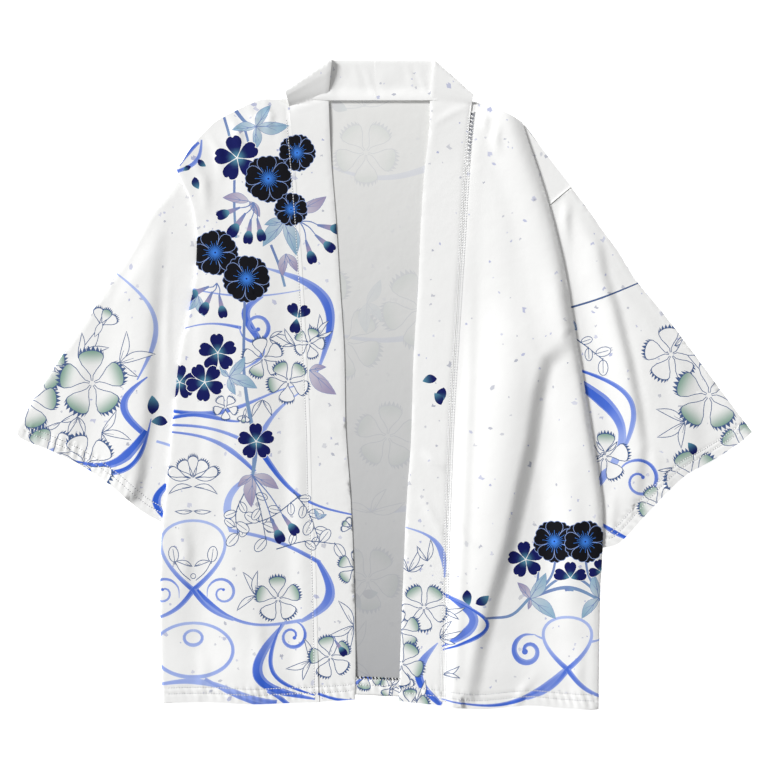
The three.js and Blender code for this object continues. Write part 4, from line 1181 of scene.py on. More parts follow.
RIGHT_FALL = {
    "wave": [
        (67, -240, 62, 180, 36, 1, (1.5, 10, 11, 1.5), (0.9, 0.7, 0.9)),
        (70, -244, 62, 178, 50, 1, (1.4, 3.6, 5, 1.4), (0.9, 1)),
        (25, -165, 73, -142, 17, 1, (1.4, 3, 8, 1.5), (0.1, 0.5, 0.2)),
        (62, -298, 71, -177, -24, 1, (1.5, 10, 9, 6), (0.2, 1, 0.9)),
        (66, -362, 148, -77, -22, 1, (1.6, 3, 6, 8), (0.6, 1, 0.5)),
        (173.5, -288.5, 12.5, -113, -0.6, 1, (1.3, 2, 3), (0.3, 0.2)),
        (252.8, -292, 15.5, 106, 0.6, 1, (1.3, 2, 3), (0.3, 0.2)),
    ],
    "curl": [(166, -307, 20, 68, 1, 7), (258, -305, 14, 112, -1, 5)],
    "water_knot": [(211, -268, 60, 58)],
    "stem": [
        [[(115, -269), (146, -266), (168, -246)], (2.6, 3.4, 3.4)],
        [[(168, -246), (213, -234), (256, -252)], (3.2, 4.2, 3)],
        [[(198, -200), (192, -222), (172, -246)], (2.6, 2.8, 3)],
        [[(213, -220), (198, -226), (178, -243)], (2.6, 3, 3)],
        [[(213, -220), (228, -226), (246, -241)], (2.6, 3, 3)],
        [[(231, -200), (235, -220), (246, -240)], (2.6, 2.8, 3)],
        [[(178, -212), (176, -230), (169, -245)], (2.4, 2.8)],
        [[(208, -237), (213, -235), (218, -237)], (3, 6, 3)],
    ],
    "blades": [
        (64, -292, ((28, -70), (25, -36), (20, -108))), (28, -216, ((31, -26), (27, 22), (20, -64))),
        (66, -262, ((28, -78), (22, -112))), (50, -204, ((26, -8), (22, 34))),
        (38, -366, ((28, -20), (24, 24))), (68, -334, ((22, -60), (20, -100))),
    ],
    "pink_bud": [(18, -350, 20, -30)],
    "pink": [
        (46, -257, 30, 34, (0, 4)), (18, -284, 26, -66, (0, 4)), (20, -322, 29, -34, (0, 4)),
        (31, -372, 24, 4, (0, 1, 4)),
    ],
    "leaves": [
        (168, -247, ((35, -32, "leaf"), (38, -128, "leaf"), (24, 38, "mauve"), (13, 170, "mauve"))),
        (247, -246, ((31, 140, "leaf"), (29, 12, "leaf"))),
    ],
    "loose_petal": [
        (61, 6, 17, 100), (69, -4, 19, 168), (66, -24, 16, 30), (95, -236, 18, 190), (105, -252, 18, -58),
    ],
    "single_blossom": [(163, -202, 21, 8), (214, -223, 19, 0, (0, 1, 4)), (250, -216, 15, 20, (0, 1))],
    "double_blossom": [(196, -181, 25, 0), (231, -181, 25, 14)],
}
LEFT_SLEEVE_PRINT = {
    "wave": [
        (-310, 129, 127, -168, 34, 1, (1.6, 4, 6, 1.6), (0.0, 0.05, 0.5)),
        (-272, 8, 66, 178, -26, 1, (1.5, 9, 7), (0.7, 0.9)),
        (-273, -54, 96, 110, 22, 1, (7, 12, 6, 1.5), (1, 0.8)),
        (-268, -40, 104, 122, 34, 1, (1, 5, 6, 1.4), (0.8, 1, 0.8)),
        (-398, -86, 50, -82, 8, 1, (3, 6, 2), (0.3, 0.2)), (-262, -66, 34, -110, 1, 1, (3, 3), (0.2, 0.1)),
        (-250, -116, 38, 177, -11, 1, (6, 10, 5), (1, 1)),
    ],
    "blades": [
        (-352, 30, ((44, -34), (38, -72), (30, -8))), (-366, 4, ((26, 10), (22, 40))),
        (-372, -44, ((28, -60), (24, 110))), (-304, 24, ((38, -12), (43, -76), (27, -126))),
        (-371, 42, ((26, -30), (22, -8))), (-325, -56, ((31, -34), (36, -104), (23, -150))),
        (-352, -38, ((24, 150), (22, -160))),
    ],
    "pink_bud": [(-327, 66, 25, -28)],
    "pink": [
        (-398, 22, 36, -66, (0, 1, 4)), (-410, -18, 38, -88, (0, 1, 4)), (-386, -84, 38, 22, (0, 1)),
        (-344, -92, 38, 20, ()), (-336, 1, 43, 2, (0, 1, 2, 3, 4)),
    ],
    "loose_petal": [(-267, -35, 22, 0), (-249, -44, 19, 88)],
}
RIGHT_SLEEVE_PRINT = {
    "wave": [
        (220, 4, 130, -171, 44, 1, (10, 15, 9, 8, 6), (1, 0.9, 0.1, 0.8)),
        (222, 17, 118, -157, 42, 1, (3, 5, 6, 2), (1, 0.6, 0.3)),
        (238, -124, 38, -40, 4, 1, (6, 4), (0.9, 0.2)), (280, -178, 37, 60, 1, 1, (4, 6, 3), (1, 0.9)),
    ],
    "curl": [(294, -111, 27, 170, -1, 4.6)],
    "fine_line": [[[(208, 86), (250, 99), (302, 120)], (2.4, 2, 1.4)]],
    "sprig": [[[(218, 54), (232, 44), (252, 28)], 2]],
    "blades": [
        (346, -44, ((37, 66), (37, 118), (31, 172))), (256, -78, ((18, -46), (17, 44), (15, 130))),
        (334, 44, ((40, -70), (44, -98), (34, -44))), (372, 10, ((38, 44), (34, 4))),
        (332, -96, ((20, 150), (18, 100))),
    ],
    "pink": [
        (330, 34, 35, 78, ()), (414, -72, 30, 60, (0, 1, 4)), (356, -108, 36, 26, (0, 4)),
        (316, -140, 26, 30, (0, 1)), (374, -13, 44, 66, (0, 1, 2)), (254, -84, 31, -4, (0,)),
    ],
    "leaves": [(222, 62, ((14, 70, "leaf"), (13, 20, "leaf")))],
    "loose_petal": [(358, -82, 17, 30)],
}
BACK_HEM_PRINT = {  # on the strip that turns up, so drawn past the back's folded hem
    "wave": [(-40, -366, 40, -117, -2, 1, (3, 6, 5), (0.6, 1))],
    "pink": [(-22, -384, 22, 150, (0, 1, 2, 3, 4)), (8, -371, 16, 40, (0, 1))],
    "blades": [(4, -366, ((20, -120), (18, -60)))],
}
MOTIFS = (
    wave, curl, water_knot, water_ring, fine_line, stem, sprig, blades, mirrored_spray, pink_bud, pink,
    leaves, hanging, loose_petal, single_blossom, double_blossom,
)


def printed(art, rows):
    """Prints one kind of motif after the other, the later ones over the earlier."""
    for motif in MOTIFS:
        for row in rows.get(motif.__name__, ()):
            motif(art, *row)


def loose_layout(area, seed, scale=1.0, full=True):
    """The same motifs in a seeded, loose all-over layout, for the sides that lie down or inwards."""
    generator = np.random.default_rng(seed)
    low, high = area.min(0), area.max(0)
    share = float(np.prod(high - low)) / 90000 / scale**2

    def spots(count, reach):
        for _ in range(max(1, round(count * share))):
            x, y = generator.uniform(low, high)
            size = reach * scale * generator.uniform(0.85, 1.15)
            yield x, y, size, generator.uniform(0, 360)

    def roots(count, reach, *ink):
        return [
            (x, y, tuple((size * part, turn + way, *ink) for part, way in ((1, 0), (0.8, 40), (0.9, 150))))
            for x, y, size, turn in spots(count, reach)
        ]

    waves = []
    for y in np.arange(low[1] + 60, high[1], 130 * scale):
        course = (low[0] - 10, y, high[0] - low[0] + 20, -90, generator.uniform(16, 30), 3)
        waves.append((*course, (2, 6, 3, 8, 4, 2), (0.2, 1, 0.4, 1, 0.2)))
    rows = {
        "wave": waves,
        "blades": roots(6, 30),
        "pink": list(spots(7, 30)),
        "loose_petal": list(spots(5, 14)),
        "leaves": roots(3, 26, "leaf"),
    }
    if full:
        rows["single_blossom"] = list(spots(4, 21))
        rows["double_blossom"] = list(spots(4, 24))
    return rows


# -------------------------------------------------- from print and surface to a mesh
def cut_along_print(outline, art, loose):
    """Triangles of flat cloth, cut along the print's outlines, and the number of the shape on each."""
    coords = [tuple(p) for p in outline]
    cuts, shapes = [], []
    low, high = outline.min(0), outline.max(0)
    for k, shape in enumerate(art.outlines[1:], 1):
        if (shape.max(0) < low).any() or (shape.min(0) > high).any():
            continue
        first, count = len(coords), len(shape)
        cuts += [(first + j, first + (j + 1) % count) for j in range(count)]
        coords.extend(map(tuple, shape))
        shapes.append((k, wound(shape)))
    coords.extend(map(tuple, loose))
    cuts += [(j, (j + 1) % len(outline)) for j in range(len(outline))]
    verts, _, tris, _, _, _ = delaunay_2d_cdt(coords, cuts, [], 0, MERGED, False)
    flat = np.array([tuple(v) for v in verts])
    tri = np.array([t for t in tris if len(t) == 3])
    tri = tri[within(outline, *flat[tri].mean(1).T)]
    x, y = flat[tri].mean(1).T
    number = np.zeros(len(tri), int)
    for k, ring in shapes:
        (x0, y0), (x1, y1) = ring.min(0), ring.max(0)
        near = np.flatnonzero((x > x0) & (x < x1) & (y > y0) & (y < y1))
        number[near[within(ring, x[near], y[near])]] = k
    edge1, edge2 = flat[tri[:, 1]] - flat[tri[:, 0]], flat[tri[:, 2]] - flat[tri[:, 0]]
    area = edge1[:, 0] * edge2[:, 1] - edge1[:, 1] * edge2[:, 0]
    tri[area < 0] = tri[area < 0][:, ::-1]
    solid = np.abs(area) > LEAST_AREA
    used, tri = np.unique(tri[solid], return_inverse=True)
    return flat[used], tri.reshape(-1, 3), number[solid]


def meshed(name, points, faces, material):
    """A smooth object from points in millimetres."""
    mesh = bpy.data.meshes.new(name)
    mesh.from_pydata(((points + (*SHIFT, 0)) * MM).tolist(), [], faces)
    mesh.polygons.foreach_set("use_smooth", np.ones(len(mesh.polygons), bool))
    mesh.materials.append(material)
    return linked(name, mesh)


def linked(name, data):
    item = bpy.data.objects.new(name, data)
    bpy.context.scene.collection.objects.link(item)
    return item


class Shell:
    """Faces of one visible piece, gathered sheet by sheet."""

    def __init__(self):
        self.points, self.faces, self.tints, self.flat = [], [], [], []
        self.count = 0

    def add_sheet(self, surface, art, spacing, facing=1, inside=None):
        """Cuts the cloth along the print, lays it where the surface says and gives it its wall."""
        outline = wound(surface.outline())
        flat, tri, number = cut_along_print(outline, art, lattice(surface, outline, spacing))
        middle = surface.place(*flat.T)
        rise = vertex_normals(middle, tri) * (facing * surface.wall(*flat.T) / 2)[:, None]
        total = len(flat)
        corners = flat[tri]
        paint = art.colours_at(np.repeat(number, 3), corners[..., 0].ravel(), corners[..., 1].ravel())
        paint = paint.reshape(-1, 3, 3)
        ghost = paint if inside is None else inside(paint, corners[..., 1])
        self.points.append(np.vstack([middle + rise, middle - rise]))
        self.flat.append(np.vstack([flat, flat]))
        self.faces.extend((tri[:, ::facing] + self.count).tolist())
        self.tints.append(paint[:, ::facing].reshape(-1, 3))
        self.faces.extend((tri[:, ::-facing] + total + self.count).tolist())
        self.tints.append(ghost[:, ::-facing].reshape(-1, 3))
        for a, b, face in boundary(tri):
            where = {v: k for k, v in enumerate(tri[face])}
            start, end = (a, b)[::-facing]
            tint_start, tint_end = paint[face, where[start]], paint[face, where[end]]
            self.faces.append([v + self.count for v in (start, end, end + total, start + total)])
            self.tints.append(np.array((tint_start, tint_end, tint_end, tint_start)))
        self.count += 2 * total

    def build(self, name, material):
        piece = meshed(name, np.vstack(self.points), self.faces, material)
        mesh = piece.data
        tints = mesh.color_attributes.new(name="print", type="FLOAT_COLOR", domain="CORNER")
        colours = np.vstack(self.tints)
        tints.data.foreach_set("color", np.c_[colours, np.ones(len(colours))].astype(np.float32).ravel())
        cloth = mesh.attributes.new(name="cloth", type="FLOAT_VECTOR", domain="POINT")
        flat = np.vstack(self.flat) * MM
        cloth.data.foreach_set("vector", np.c_[flat, np.zeros(len(flat))].astype(np.float32).ravel())
        mesh.set_sharp_from_angle(angle=math.radians(55))
        return piece


def wound(outline):
    """The outline, run anticlockwise."""
    after = np.roll(outline, -1, 0)
    area = (outline[:, 0] * after[:, 1] - after[:, 0] * outline[:, 1]).sum()
    return outline if area > 0 else outline[::-1]


def lattice(surface, outline, spacing):
    """Evenly spaced places inside an outline, closer together where the surface rolls over or is sewn."""
    low, high = outline.min(0), outline.max(0)
    rows = np.arange(low[1], high[1], spacing * 0.866)
    columns = np.arange(low[0], high[0], spacing)
    x = (columns[None, :] + (np.arange(len(rows)) % 2)[:, None] * spacing / 2).ravel()
    y = np.repeat(rows, len(columns))
    inside = within(outline, x, y)
    x, y = x[inside], y[inside]
    clear = np.abs(beside(np.vstack([outline, outline[:1]]), x, y)[0]) > spacing * 0.35
    x, y = x[clear], y[clear]
    spots = [np.c_[x, y]]
    if surface.rolls:
        beyond = beside(surface.fold_long, x, y)[0] * surface.rolls
        half_turn = math.pi * surface.radius
        spots = [spots[0][(beyond < -spacing * 0.3) | (beyond > half_turn + spacing * 0.3)]]
        line = sampled(surface.fold, 130)
        spots += [offset(line, surface.rolls * half_turn * share) for share in np.linspace(0, 1, 6)]
    spots = np.vstack(spots + surface.sewn())
    return spots[within(outline, *spots.T)]


def vertex_normals(points, tri):
    across = np.cross(points[tri[:, 1]] - points[tri[:, 0]], points[tri[:, 2]] - points[tri[:, 0]])
    normals = np.zeros_like(points)
    for k in range(3):
        np.add.at(normals, tri[:, k], across)
    return normals / np.maximum(np.linalg.norm(normals, axis=1), 1e-12)[:, None]


def boundary(tri):
    """The edges that only one triangle has, as (from, to, triangle)."""
    edges = np.vstack([tri[:, [0, 1]], tri[:, [1, 2]], tri[:, [2, 0]]])
    owner = np.tile(np.arange(len(tri)), 3)
    keys = edges.min(1).astype(np.int64) * (tri.max() + 1) + edges.max(1)
    _, index, counts = np.unique(keys, return_index=True, return_counts=True)
    single = index[counts == 1]
    return [(int(edges[k, 0]), int(edges[k, 1]), int(owner[k])) for k in single]


# ------------------------------------------------------------------ materials
def add_node(tree, kind, settings=None, inputs=None):
    """Adds a shader node, sets its own settings and fills or links its inputs."""
    node = tree.nodes.new(kind)
    for key, value in (settings or {}).items():
        setattr(node, key, value)
    for key, value in (inputs or {}).items():
        if isinstance(value, bpy.types.NodeSocket):
            tree.links.new(value, node.inputs[key])
        else:
            node.inputs[key].default_value = value
    return node


def new_material(name):
    material = bpy.data.materials.new(name)
    material.use_nodes = True
    material.node_tree.nodes.clear()
    return material, material.node_tree


def noise(tree, scale, detail, roughness=0.5, place=None):
    given = {} if place is None else {"Vector": place}
    settings_of_noise = {**given, "Scale": scale, "Detail": detail, "Roughness": roughness}
    return add_node(tree, "ShaderNodeTexNoise", {}, settings_of_noise).outputs["Fac"]


def ranged(tree, value, low, high):
    limits = {"Value": value, "To Min": low, "To Max": high}
    return add_node(tree, "ShaderNodeMapRange", {}, limits).outputs[0]


def joined(tree, operation, first, second):
    return add_node(tree, "ShaderNodeMath", {"operation": operation}, {0: first, 1: second}).outputs[0]


def scaled(tree, colour, share):
    settings_of_scale = {0: colour, "Scale": share}
    return add_node(tree, "ShaderNodeVectorMath", {"operation": "SCALE"}, settings_of_scale).outputs[0]


def surfaced(tree, **inputs):
    """Ends a material with its shader; the inputs are named with _ for a space."""
    given = {key.replace("_", " "): value for key, value in inputs.items()}
    shader = add_node(tree, "ShaderNodeBsdfPrincipled", {}, given)
    add_node(tree, "ShaderNodeOutputMaterial", {}, {"Surface": shader.outputs[0]})


def printed_polyester():
    """Woven polyester, dye-printed: matt and a little crushed, with a faint crosswise grain."""
    material, tree = new_material("woven_printed_polyester")
    ink = add_node(tree, "ShaderNodeAttribute", {"attribute_name": "print"})
    place = add_node(tree, "ShaderNodeAttribute", {"attribute_name": "cloth"}).outputs["Vector"]
    # The real threads are about 0.25 mm apart, too fine to show, so the grain is drawn at 0.9 mm.
    threads = [
        add_node(tree, "ShaderNodeTexWave", {"bands_direction": way, "wave_profile": "SIN"},
                 {"Vector": place, "Scale": 350.0, "Distortion": 0.6, "Detail": 1.0}).outputs["Fac"]
        for way in ("X", "Y")
    ]
    grain = joined(tree, "ADD", *threads)
    slub = noise(tree, 900.0, 2.0, 0.6, place)
    cloud = noise(tree, 14.0, 3.0, 0.5, place)
    crush = noise(tree, 60.0, 4.0, 0.55, place)
    tone = joined(tree, "MULTIPLY", ranged(tree, cloud, 0.965, 1.0), ranged(tree, slub, 0.975, 1.01))
    crushed = add_node(tree, "ShaderNodeBump", {}, {"Strength": 0.35, "Distance": 0.0011, "Height": crush})
    weave = {"Strength": 0.25, "Distance": 0.00006, "Height": grain, "Normal": crushed.outputs[0]}
    surfaced(
        tree,
        Base_Color=scaled(tree, ink.outputs["Color"], tone),
        Roughness=ranged(tree, slub, 0.68, 0.86),
        Normal=add_node(tree, "ShaderNodeBump", {}, weave).outputs[0],
        IOR=1.5, Specular_IOR_Level=0.2, Sheen_Weight=0.05, Sheen_Roughness=0.45,
    )
    return material


def spun_thread(name, colour):
    """Spun polyester sewing thread: round, slightly glossy, with its twist showing as fine bands."""
    material, tree = new_material(name)
    place = add_node(tree, "ShaderNodeTexCoord").outputs["Object"]
    bands_of_twist = {"Vector": place, "Scale": 900.0}
    twist = add_node(tree, "ShaderNodeTexWave", {"bands_direction": "DIAGONAL"}, bands_of_twist)
    tone = ranged(tree, twist.outputs["Fac"], 0.9, 1.0)
    surfaced(tree, Base_Color=scaled(tree, colour, tone), Roughness=0.5, IOR=1.5, Sheen_Weight=0.1)
    return material


def coated_board():
    """White studio board: matt and even, so that the ground stays a clean white."""
    material, tree = new_material("matt_white_board")
    surfaced(
        tree,
        Base_Color=ranged(tree, noise(tree, 40.0, 2.0), 0.94, 0.97),
        Roughness=0.9, Specular_IOR_Level=0.2, Emission_Color=(1, 1, 1, 1), Emission_Strength=0.75,
    )
    return material


def shared(name, make):
    return bpy.data.materials.get(name) or make()


# ------------------------------------------------------------------ the pieces
def settings():
    scene = bpy.context.scene
    return scene.jacket_sizes, scene.print_colours


def fronts():
    cloth = settings()[0].cloth / MM
    left = (LEFT_BAND_SEAM, LEFT_EDGE, LEFT_HEM, LEFT_SHOULDER, LEFT_TUCK, LEFT_FOLD_LIFT, LEFT_FRONT_CREASES)
    right = (
        RIGHT_BAND_SEAM, RIGHT_EDGE, RIGHT_HEM, RIGHT_SHOULDER, RIGHT_TUCK, RIGHT_FOLD_LIFT,
        RIGHT_FRONT_CREASES,
    )
    return Front(-1, *left, cloth), Front(1, *right, cloth)


def bands():
    wall = settings()[0].band / MM
    left = (LEFT_BAND_SEAM, LEFT_BAND_FREE, LEFT_BAND_FOLD, LEFT_BAND_CREASES, 5.4)
    right = (RIGHT_BAND_SEAM, RIGHT_BAND_FREE, RIGHT_BAND_FOLD, RIGHT_BAND_CREASES, 1.6)
    return CollarBand(-1, *left, wall), CollarBand(1, *right, wall)


def sleeve_layers(side):
    cloth = settings()[0].cloth / MM
    left, right = fronts()
    rows = {
        -1: (LEFT_ARMHOLE, LEFT_SLEEVE_TOP, LEFT_CUFF, LEFT_SLEEVE_CREASES, left.edge),
        1: (RIGHT_ARMHOLE, RIGHT_SLEEVE_TOP, RIGHT_CUFF, RIGHT_SLEEVE_CREASES, right.edge),
    }[side]
    return [SleeveLayer(side, *rows, cloth, upper) for upper in (True, False)]


def wrong_side(colours):
    """How a print shows through to the inside of the cloth: faint, on a grey ground with painted shade that
    darkens it lower down.
    """
    high, low = np.array(colours.inside), np.array(colours.inside_low)

    def shown(paint, y):
        t = np.clip((NECK_Y - y) / NECK_TO_HEM, 0, 1)[..., None]
        # painted shade: the ground darkens from the neck towards the hem
        ground = high * (1 - t) + low * t
        return ground * (0.84 + 0.16 * paint ** 0.7)

    return shown


def fall_art(side):
    """The print of one front and its half of the band, which run on into each other."""
    sizes, colours = settings()
    art = Print(colours)
    area = np.vstack([pair[side > 0].outline() for pair in (fronts(), bands())])
    (x0, y0), (x1, y1) = area.min(0), area.max(0)
    drift(art, np.array([(x0, y0), (x1, y0), (x1, y1), (x0, y1)]), sizes.petals, FALL_SEED + side)
    printed(art, LEFT_FALL if side < 0 else RIGHT_FALL)
    return art


def declare(piece, name, sewing):
    for part in (piece, *sewing):
        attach(part, "root")
    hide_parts(name)
    flat, area = SHEETS[name]


def paced(line, pitch, shift=0.0):
    """Places a pitch apart along a line, each drawn on by a shift."""
    reach = reach_along(line)
    steps = np.arange(pitch, reach[-1] - pitch, pitch) + shift
    return np.c_[np.interp(steps, reach, line[:, 0]), np.interp(steps, reach, line[:, 1])]


def pierced(art, *surfaces):
    """Painted shade: grey dots between the stitches, where the needle's holes dent the cloth."""
    pitch = settings()[0].stitch / MM
    for surface in surfaces:
        for line in surface.stitched():
            for a, b in zip(paced(line, pitch, -0.36 * pitch), paced(line, pitch, -0.08 * pitch)):
                art.add(stroke([a, b], (0.95, 0.95), 1), "hole")


def on_cloth(surface, a, b, facing):
    """Places of both ends of each stitch on the cloth's face, and the way up from it."""
    step = 0.4
    middle = (a + b) / 2
    across = surface.place(*(middle + (step, 0)).T) - surface.place(*(middle - (step, 0)).T)
    along = surface.place(*(middle + (0, step)).T) - surface.place(*(middle - (0, step)).T)
    up = np.cross(across, along)
    up = up / np.linalg.norm(up, axis=1)[:, None] * facing
    rise = up * (surface.wall(*middle.T) / 2)[:, None]
    return surface.place(*a.T) + rise, surface.place(*b.T) + rise, up


class Sewing:
    """Stitches gathered into one mesh: each a short round bar of thread, sunk at both ends."""

    SIDES = 6
    BAR = ((0, 0.4, -0.12), (0.2, 0.95, 0.25), (0.8, 0.95, 0.25), (1, 0.4, -0.12))  # share, thickness, height
    LOWEST = -0.05  # pressed flat where it lies on the surface

    def __init__(self, width):
        self.width, self.points, self.faces = width, [], []

    def stitch(self, start, end, up, width):
        along = end - start
        length = np.linalg.norm(along)
        along /= length
        across = np.cross(up, along)
        across /= np.linalg.norm(across)
        base = len(self.points)
        for share, swell, height in self.BAR:
            radius = width / 2 * swell
            for angle in (math.tau * j / self.SIDES for j in range(self.SIDES)):
                rise = up * (radius * math.sin(angle) * 0.8 + height * width)
                self.points.append(start + along * length * share + across * radius * math.cos(angle) + rise)
        for ring in range(base, base + 3 * self.SIDES, self.SIDES):
            for j in range(self.SIDES):
                a, b = ring + j, ring + (j + 1) % self.SIDES
                self.faces.append((a, b, b + self.SIDES, a + self.SIDES))
        self.faces.append(tuple(base + j for j in reversed(range(self.SIDES))))
        self.faces.append(tuple(base + 3 * self.SIDES + j for j in range(self.SIDES)))

    def row(self, surface, line, pitch, share=0.56, slant=0.0, facing=1, width=None):
        """A row of stitches along a line on flat cloth, on the side the cloth faces."""
        a, b = paced(line, pitch), paced(line, pitch, pitch * share)
        way = (b - a) / np.linalg.norm(b - a, axis=1)[:, None]
        side = np.c_[-way[:, 1], way[:, 0]] * slant
        for start, end, up in zip(*on_cloth(surface, a - side, b + side, facing)):
            self.stitch(start, end, up, width or self.width)

    def build(self, name, material):
        points = np.array(self.points)
        points[:, 2] = np.maximum(points[:, 2], self.LOWEST)
        return meshed(name, points, self.faces, material)


def stitching(*surfaces):
    """The white rows on each surface, given with the side that its cloth faces."""
    sizes, _ = settings()
    sewing = Sewing(sizes.thread / MM)
    for surface, facing in surfaces:
        for line in surface.stitched():
            sewing.row(surface, line, sizes.stitch / MM, facing=facing)
    return sewing


def polyester():
    return shared("woven_printed_polyester", printed_polyester)


def white_thread():
    name = "spun_polyester_thread"
    return shared(name, lambda: spun_thread(name, (*settings()[1].thread,)))


FALL_SEED, BACK_SEED, SLEEVE_SEED = 11, 21, 31
NECK_TO_HEM = 680  # the length over which painted shade darkens the inside
INSIDE_SCALE, INSIDE_PETALS, INSIDE_MESH = 1.5, 0.6, 1.6  # the back's print and mesh, against the others'
OVERLOCK = {"pitch": 4.1, "share": 0.4, "slant": 1.2}
OVERLOCK_WIDTH, OVERLOCK_INSET = 1.9, 0.8
ROPE = {"pitch": 4.6, "share": 0.46, "slant": 2.3, "width": 1.8}
# The last: widths of the shade painted along the seam under the rope stitches.
ROPE_AWAY, ROPE_SPAN, ROPE_SHADE_WIDTHS = 2.4, (0.892, 0.997), (3, 5.6)

# Each sheet laid flat: width and length in metres, and its area in square metres where its outline is curved.
SHEETS = {
    "back": ((0.492, 0.715), 0.309),
    "left_sleeve": ((0.426, 0.355), 0.0905),
    "right_sleeve": ((0.474, 0.362), 0.1013),
    "left_front": ((0.20, 0.70), 0.112),
    "right_front": ((0.20, 0.70), 0.118),
    "left_collar_band": ((0.047, 0.83), None),
    "right_collar_band": ((0.047, 0.83), None),
}


class JACKET_OT_back(bpy.types.Operator):
    """Lays the back on the surface, printed side down, with its hem turned up over its inside"""

    bl_idname = "jacket.back"
    bl_label = "Back"

    def execute(self, context):
        sizes, colours = settings()
        surface = Back(sizes.cloth / MM)
        art = Print(colours)
        area = surface.outline()
        drift(art, area, sizes.petals * INSIDE_PETALS, BACK_SEED)
        printed(art, loose_layout(area, BACK_SEED + 1, INSIDE_SCALE, full=False))
        printed(art, BACK_HEM_PRINT)
        pierced(art, surface)
        shell = Shell()
        shell.add_sheet(surface, art, sizes.mesh / MM * INSIDE_MESH, -1, wrong_side(colours))
        piece = shell.build("back_cloth", polyester())
        rows = stitching((surface, -1)).build("back_stitching", white_thread())
        edge = Sewing(OVERLOCK_WIDTH)
        turned = offset(surface.fold, -(math.pi * surface.radius + HEM - OVERLOCK_INSET))
        edge.row(surface, turned[3:-3], facing=-1, **OVERLOCK)
        overlock = edge.build("back_overlock", spun_thread("spun_black_thread", (*colours.overlock,)))
        declare(piece, "back", [rows, overlock])
        return {"FINISHED"}


class JACKET_OT_sleeves(bpy.types.Operator):
    """Makes both sleeves as flattened tubes, open at armhole and cuff"""

    bl_idname = "jacket.sleeves"
    bl_label = "Sleeves"

    def execute(self, context):
        sizes, colours = settings()
        prints = (LEFT_SLEEVE_PRINT, RIGHT_SLEEVE_PRINT)
        for side, name, motifs in zip((-1, 1), ("left_sleeve", "right_sleeve"), prints):
            upper, lower = sleeve_layers(side)
            outline = upper.outline()
            shell = Shell()
            for layer, facing in ((upper, 1), (lower, -1)):
                art = Print(colours)
                drift(art, outline, sizes.petals, SLEEVE_SEED + side * 2 + facing)
                printed(art, motifs if facing > 0 else loose_layout(outline, SLEEVE_SEED + 4 + side))
                pierced(art, layer)
                shell.add_sheet(layer, art, sizes.mesh / MM, facing, wrong_side(colours))
            piece = shell.build(name + "_cloth", polyester())
            sewing = stitching((upper, 1), (lower, -1)).build(name + "_stitching", white_thread())
            declare(piece, name, [sewing])
        return {"FINISHED"}


class JACKET_OT_fronts(bpy.types.Operator):
    """Lays both fronts over the back, their outer edges rolled under"""

    bl_idname = "jacket.fronts"
    bl_label = "Fronts"

    def execute(self, context):
        sizes, colours = settings()
        for side, name, surface in zip((-1, 1), ("left_front", "right_front"), fronts()):
            art = fall_art(side)
            rows = stitching((surface, 1))
            if side > 0:  # painted shade along the top of the seam, under rope-like white stitches
                rope = stretch_between(offset(surface.seam, -ROPE_AWAY), *ROPE_SPAN)
                art.along(stroke(rope[::8], ROPE_SHADE_WIDTHS), "white", "hole", rope[0], rope[30])
                rows.row(surface, rope, **ROPE)
            pierced(art, surface)
            shell = Shell()
            for sheet in (surface, Flap(surface))[: 1 + (side > 0)]:
                shell.add_sheet(sheet, art, sizes.mesh / MM, 1, wrong_side(colours))
            piece = shell.build(name + "_cloth", polyester())
            sewing = rows.build(name + "_stitching", white_thread())
            declare(piece, name, [sewing])
        return {"FINISHED"}


class JACKET_OT_collar(bpy.types.Operator):
    """Lays both halves of the collar band, folded beside the neck and meeting at the centre back"""

    bl_idname = "jacket.collar"
    bl_label = "Collar band"

    def execute(self, context):
        sizes, _ = settings()
        for side, name, surface in zip((-1, 1), ("left_collar_band", "right_collar_band"), bands()):
            art = fall_art(side)
            pierced(art, surface)
            shell = Shell()
            shell.add_sheet(surface, art, sizes.mesh / MM, 1)
            piece = shell.build(name + "_cloth", polyester())
            sewing = stitching((surface, 1)).build(name + "_stitching", white_thread())
            declare(piece, name, [sewing])
        return {"FINISHED"}


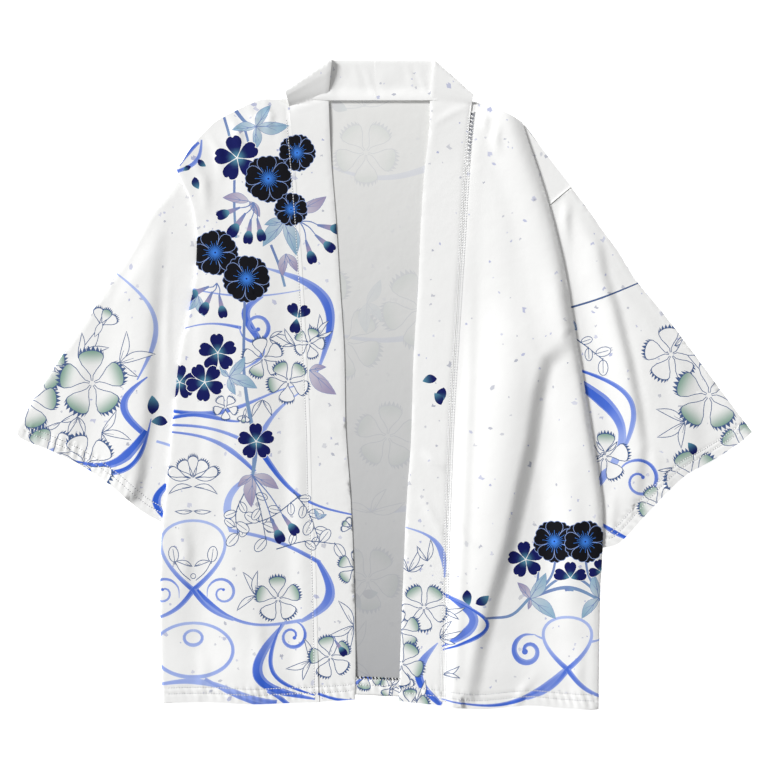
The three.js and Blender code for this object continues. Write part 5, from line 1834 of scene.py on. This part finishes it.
class JACKET_OT_stage(bpy.types.Operator):
    """Sets the white ground, the soft light from the upper left and the camera straight above"""

    bl_idname = "jacket.stage"
    bl_label = "Stage"

    VIEW = 0.8832  # metres across the view at the cloth
    CLOTH_HEIGHT = 0.005
    LENS = 100.0
    SENSOR = 36.0
    BOARD = 6.0  # from its middle to its edges
    BOARD_LEVEL = -0.0004
    ROOM_LIGHT = 0.33
    LAMP_LIGHT = 3.42
    LAMP_WIDTH = 17  # degrees
    LAMP_HEIGHT = 33  # degrees above the ground
    LAMP_FROM = (-0.75, 0.55)

    def execute(self, context):
        scene = context.scene
        ground = bpy.data.meshes.new("ground")
        signs = ((-1, -1), (1, -1), (1, 1), (-1, 1))
        corners = [(x * self.BOARD, y * self.BOARD, self.BOARD_LEVEL) for x, y in signs]
        ground.from_pydata(corners, [], [(0, 1, 2, 3)])
        ground.materials.append(coated_board())
        linked("ground", ground)

        scene.world = bpy.data.worlds.new("soft_room")
        scene.world.use_nodes = True
        room = scene.world.node_tree.nodes["Background"].inputs
        room["Color"].default_value = (1, 1, 1, 1)
        room["Strength"].default_value = self.ROOM_LIGHT

        # One broad lamp, low at the upper left, for the long soft shadows beside the folds.
        lamp = bpy.data.lights.new("window", "SUN")
        lamp.energy = self.LAMP_LIGHT
        lamp.angle = math.radians(self.LAMP_WIDTH)
        turn = math.atan2(self.LAMP_FROM[1], self.LAMP_FROM[0]) + math.pi / 2
        linked("window", lamp).rotation_euler = (math.radians(90 - self.LAMP_HEIGHT), 0, turn)

        lens = bpy.data.cameras.new("camera")
        lens.lens = self.LENS
        lens.sensor_width = self.SENSOR
        lens.sensor_fit = "HORIZONTAL"
        lens.clip_end = 50
        scene.camera = linked("camera", lens)
        distance = self.LENS * self.VIEW / self.SENSOR
        scene.camera.location = (SHIFT[0] * MM, SHIFT[1] * MM, distance + self.CLOTH_HEIGHT)
        scene.view_settings.view_transform = "Standard"
        scene.view_settings.look = "None"
        return {"FINISHED"}


class JACKET_PT_panel(bpy.types.Panel):
    """Lists the jacket's pieces in the sidebar"""

    bl_idname = "JACKET_PT_panel"
    bl_label = "Kimono Jacket"
    bl_space_type = "VIEW_3D"
    bl_region_type = "UI"
    bl_category = "Jacket"

    def draw(self, context):
        for group in (context.scene.jacket_sizes, context.scene.print_colours):
            for name in group.__annotations__:
                self.layout.prop(group, name)
        for operator in OPERATORS:
            self.layout.operator(operator.bl_idname)


GROUPS = (JacketSizes, PrintColours)
OPERATORS = (
    JACKET_OT_back,
    JACKET_OT_sleeves,
    JACKET_OT_fronts,
    JACKET_OT_collar,
    JACKET_OT_stage,
)


def register():
    for cls in (*GROUPS, *OPERATORS, JACKET_PT_panel):
        bpy.utils.register_class(cls)
    bpy.types.Scene.jacket_sizes = bpy.props.PointerProperty(type=JacketSizes)
    bpy.types.Scene.print_colours = bpy.props.PointerProperty(type=PrintColours)


def unregister():
    del bpy.types.Scene.jacket_sizes
    del bpy.types.Scene.print_colours
    for cls in reversed((*GROUPS, *OPERATORS, JACKET_PT_panel)):
        bpy.utils.unregister_class(cls)


def main():
    register()
    bpy.ops.jacket.back()
    bpy.ops.jacket.sleeves()
    bpy.ops.jacket.fronts()
    bpy.ops.jacket.collar()
    bpy.ops.jacket.stage()


if __name__ == "__main__":
    main()
